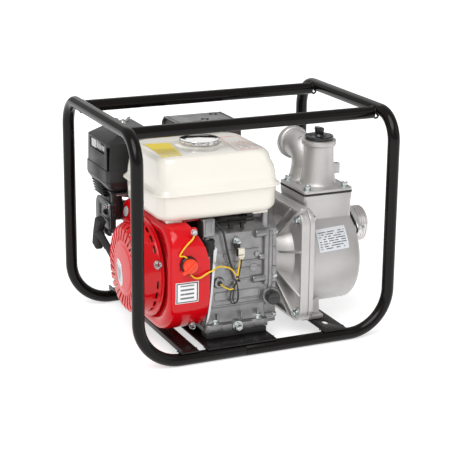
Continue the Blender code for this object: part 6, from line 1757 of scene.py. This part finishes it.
def makeHotParts():
    body = castingFrom("muffler", 0.0022, 3, 28)
    seamRing = plate(roundedOutline((0.0550, 0.1530), (0.2605, 0.3480), 0.0180, 6), "x", -0.0050, -0.0025,
                     0.0006)
    finished(gather([seamRing, body]), "mufflerBody", "unit", "heat_paint", paint["heatPaint"], "muffler",
             smoothAngle=40)
    guard = castingFrom("muffler_guard", 0.0005, 2, 25)
    for k in range(5):
        slot = plate(roundedOutline((-0.050 + 0.020 * k, -0.038 + 0.020 * k), (0.292, 0.322), 0.0050, 4),
                     "y", 0.1560, 0.1600)
        carve(guard, slot)
    parts = [guard]
    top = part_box("muffler_guard")[1].z
    for x, y in ((0.0310, 0.1330), (0.0000, 0.0990), (-0.0400, 0.0700)):
        parts.append(turned([(top - 0.0012, 0.0098), (top - 0.0002, 0.0086), (top + 0.0000, 0.0078)], "z",
                            (x, y), 36))
    for x in (-0.0560, 0.0480):
        parts.append(block((x - 0.0018, 0.0560, top - 0.0014), (x + 0.0018, 0.1450, top + 0.0000), 0.0007))
    for k in range(4):
        y = 0.070 + 0.020 * k
        parts.append(block((-0.0300, y - 0.0016, top - 0.0012), (-0.0080, y + 0.0016, top), 0.0006))
    finished(gather(parts[::-1]), "mufflerGuard", "unit", "heat_paint", paint["guardGrey"], "muffler_guard",
             smoothAngle=40)
    bolts = [panBolt((x, y, top - 0.0002), (0, 0, 1), 0.0034, 0.0004) for x,
             y in ((0.0310, 0.1330), (0.0000, 0.0990), (-0.0400, 0.0700))]
    finished(gather(bolts), "mufflerBolts", "unit", "steel", paint["zincSteel"])
    tilt = Matrix.Translation((-0.030, *shroud["crank"])) @ Matrix.Rotation(math.radians(25) - math.pi / 2,
            4, "X")
    head = [castingFrom("cylinder_head", 0.0012, 2, 28)]
    for k in range(5):
        z = 0.1335 + 0.0062 * k
        fin = plate(roundedOutline((-0.0492, 0.0462), (-0.0432, 0.0432), 0.0080, 4), "z", z, z + 0.0018,
                    0.0004)
        head.append(turnPiece(fin, tilt))
    finished(gather(head[::-1]), "cylinderHead", "unit", "casting", paint["engineAlloy"], "cylinder_head")
    rocker = [castingFrom("rocker_cover", 0.0022, 3, 28)]
    emboss = plate(roundedOutline((-0.030, 0.004), (-0.020, 0.020), 0.0060, 5), "z", 0.1895, 0.1917, 0.0006)
    rocker.append(turnPiece(emboss, tilt))
    finished(gather(rocker[::-1]), "rockerCover", "unit", "black_plastic", paint["plateBlack"],
             "rocker_cover")
    headBolts = [turnPiece(hexBolt((x, y, 0.1648), (0, 0, 1), 0.0095, 0.0060, 0.0074), tilt) for x,
                 y in ((-0.0480, -0.0400), (0.0250, -0.0400), (-0.0480, 0.0400), (0.0400, 0.0400))]
    headBolts.append(turnPiece(hexBolt((-0.013, 0.0, 0.1915), (0, 0, 1), 0.0095, 0.0050, 0.0080), tilt))
    finished(gather(headBolts), "headBolts", "unit", "steel", paint["zincSteel"])
    plugX = 0.0345
    insulator = turned([(0.1712, 0.0044), (0.1720, 0.0050), (0.1745, 0.0050), (0.1750, 0.0042),
                        (0.1765, 0.0048), (0.1770, 0.0041), (0.1785, 0.0046), (0.1790, 0.0039),
                        (0.1805, 0.0044), (0.1810, 0.0036), (0.1890, 0.0032), (0.1905, 0.0026),
                        (0.1932, 0.0026)], "z", (plugX, 0), 36)
    finished(turnPiece(insulator, tilt), "sparkPlug", "unit", "ceramic", paint["ceramic"], "spark_plug")
    shell = [turned([(0.1440, 0.0060), (0.1650, 0.0062), (0.1653, 0.0100), (0.1668, 0.0104),
                     (0.1710, 0.0104), (0.1714, 0.0060), (0.1722, 0.0048)], "z", (plugX, 0), 6),
             turned([(0.1715, 0.0068), (0.1735, 0.0066), (0.1738, 0.0046)], "z", (plugX, 0), 36)]
    finished(turnPiece(gather(shell), tilt), "sparkPlugShell", "unit", "steel", paint["zincSteel"])
    arm = castingFrom("governor_arm", 0.0006, 2, 28)
    finished(arm, "governorArm", "governor_body", "steel", paint["zincSteel"], "governor_arm")
    coil = [castingFrom("ignition_coil", 0.0016, 3, 28)]
    for k in range(6):
        coil.append(block((-0.1430, -0.0660 + 0.0075 * k, 0.2290), (-0.1250, -0.0645 + 0.0075 * k, 0.2312),
                          0.0004))
    finished(gather(coil[::-1]), "ignitionCoil", "unit", "black_plastic", paint["blackPlastic"],
             "ignition_coil")
    print("muffler, head and ignition ready")


makeHotParts()


# Carried-over working parts get their own finishes.

inside = {"crankshaft_flywheel_half": "brightSteel", "crankshaft_pump_half": "brightSteel",
          "camshaft": "brightSteel", "piston": "cutAlloy",
          "connecting_rod": "warmSteel", "main_bearing_flywheel_side": "brightSteel",
          "main_bearing_pump_side": "brightSteel",
          "mechanical_seal": "ceramic", "impeller": "castIron", "volute": "castIron",
          "check_valve_flap": "blackRubber", "air_filter_element": "foam",
          "starter_reel": "blackPlastic", "starter_cup": "zincSteel", "flywheel": "castIron"}
for name, finish in inside.items():
    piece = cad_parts[name]
    piece.data.materials.clear()
    piece.data.materials.append(paint[finish])
print("working parts painted")
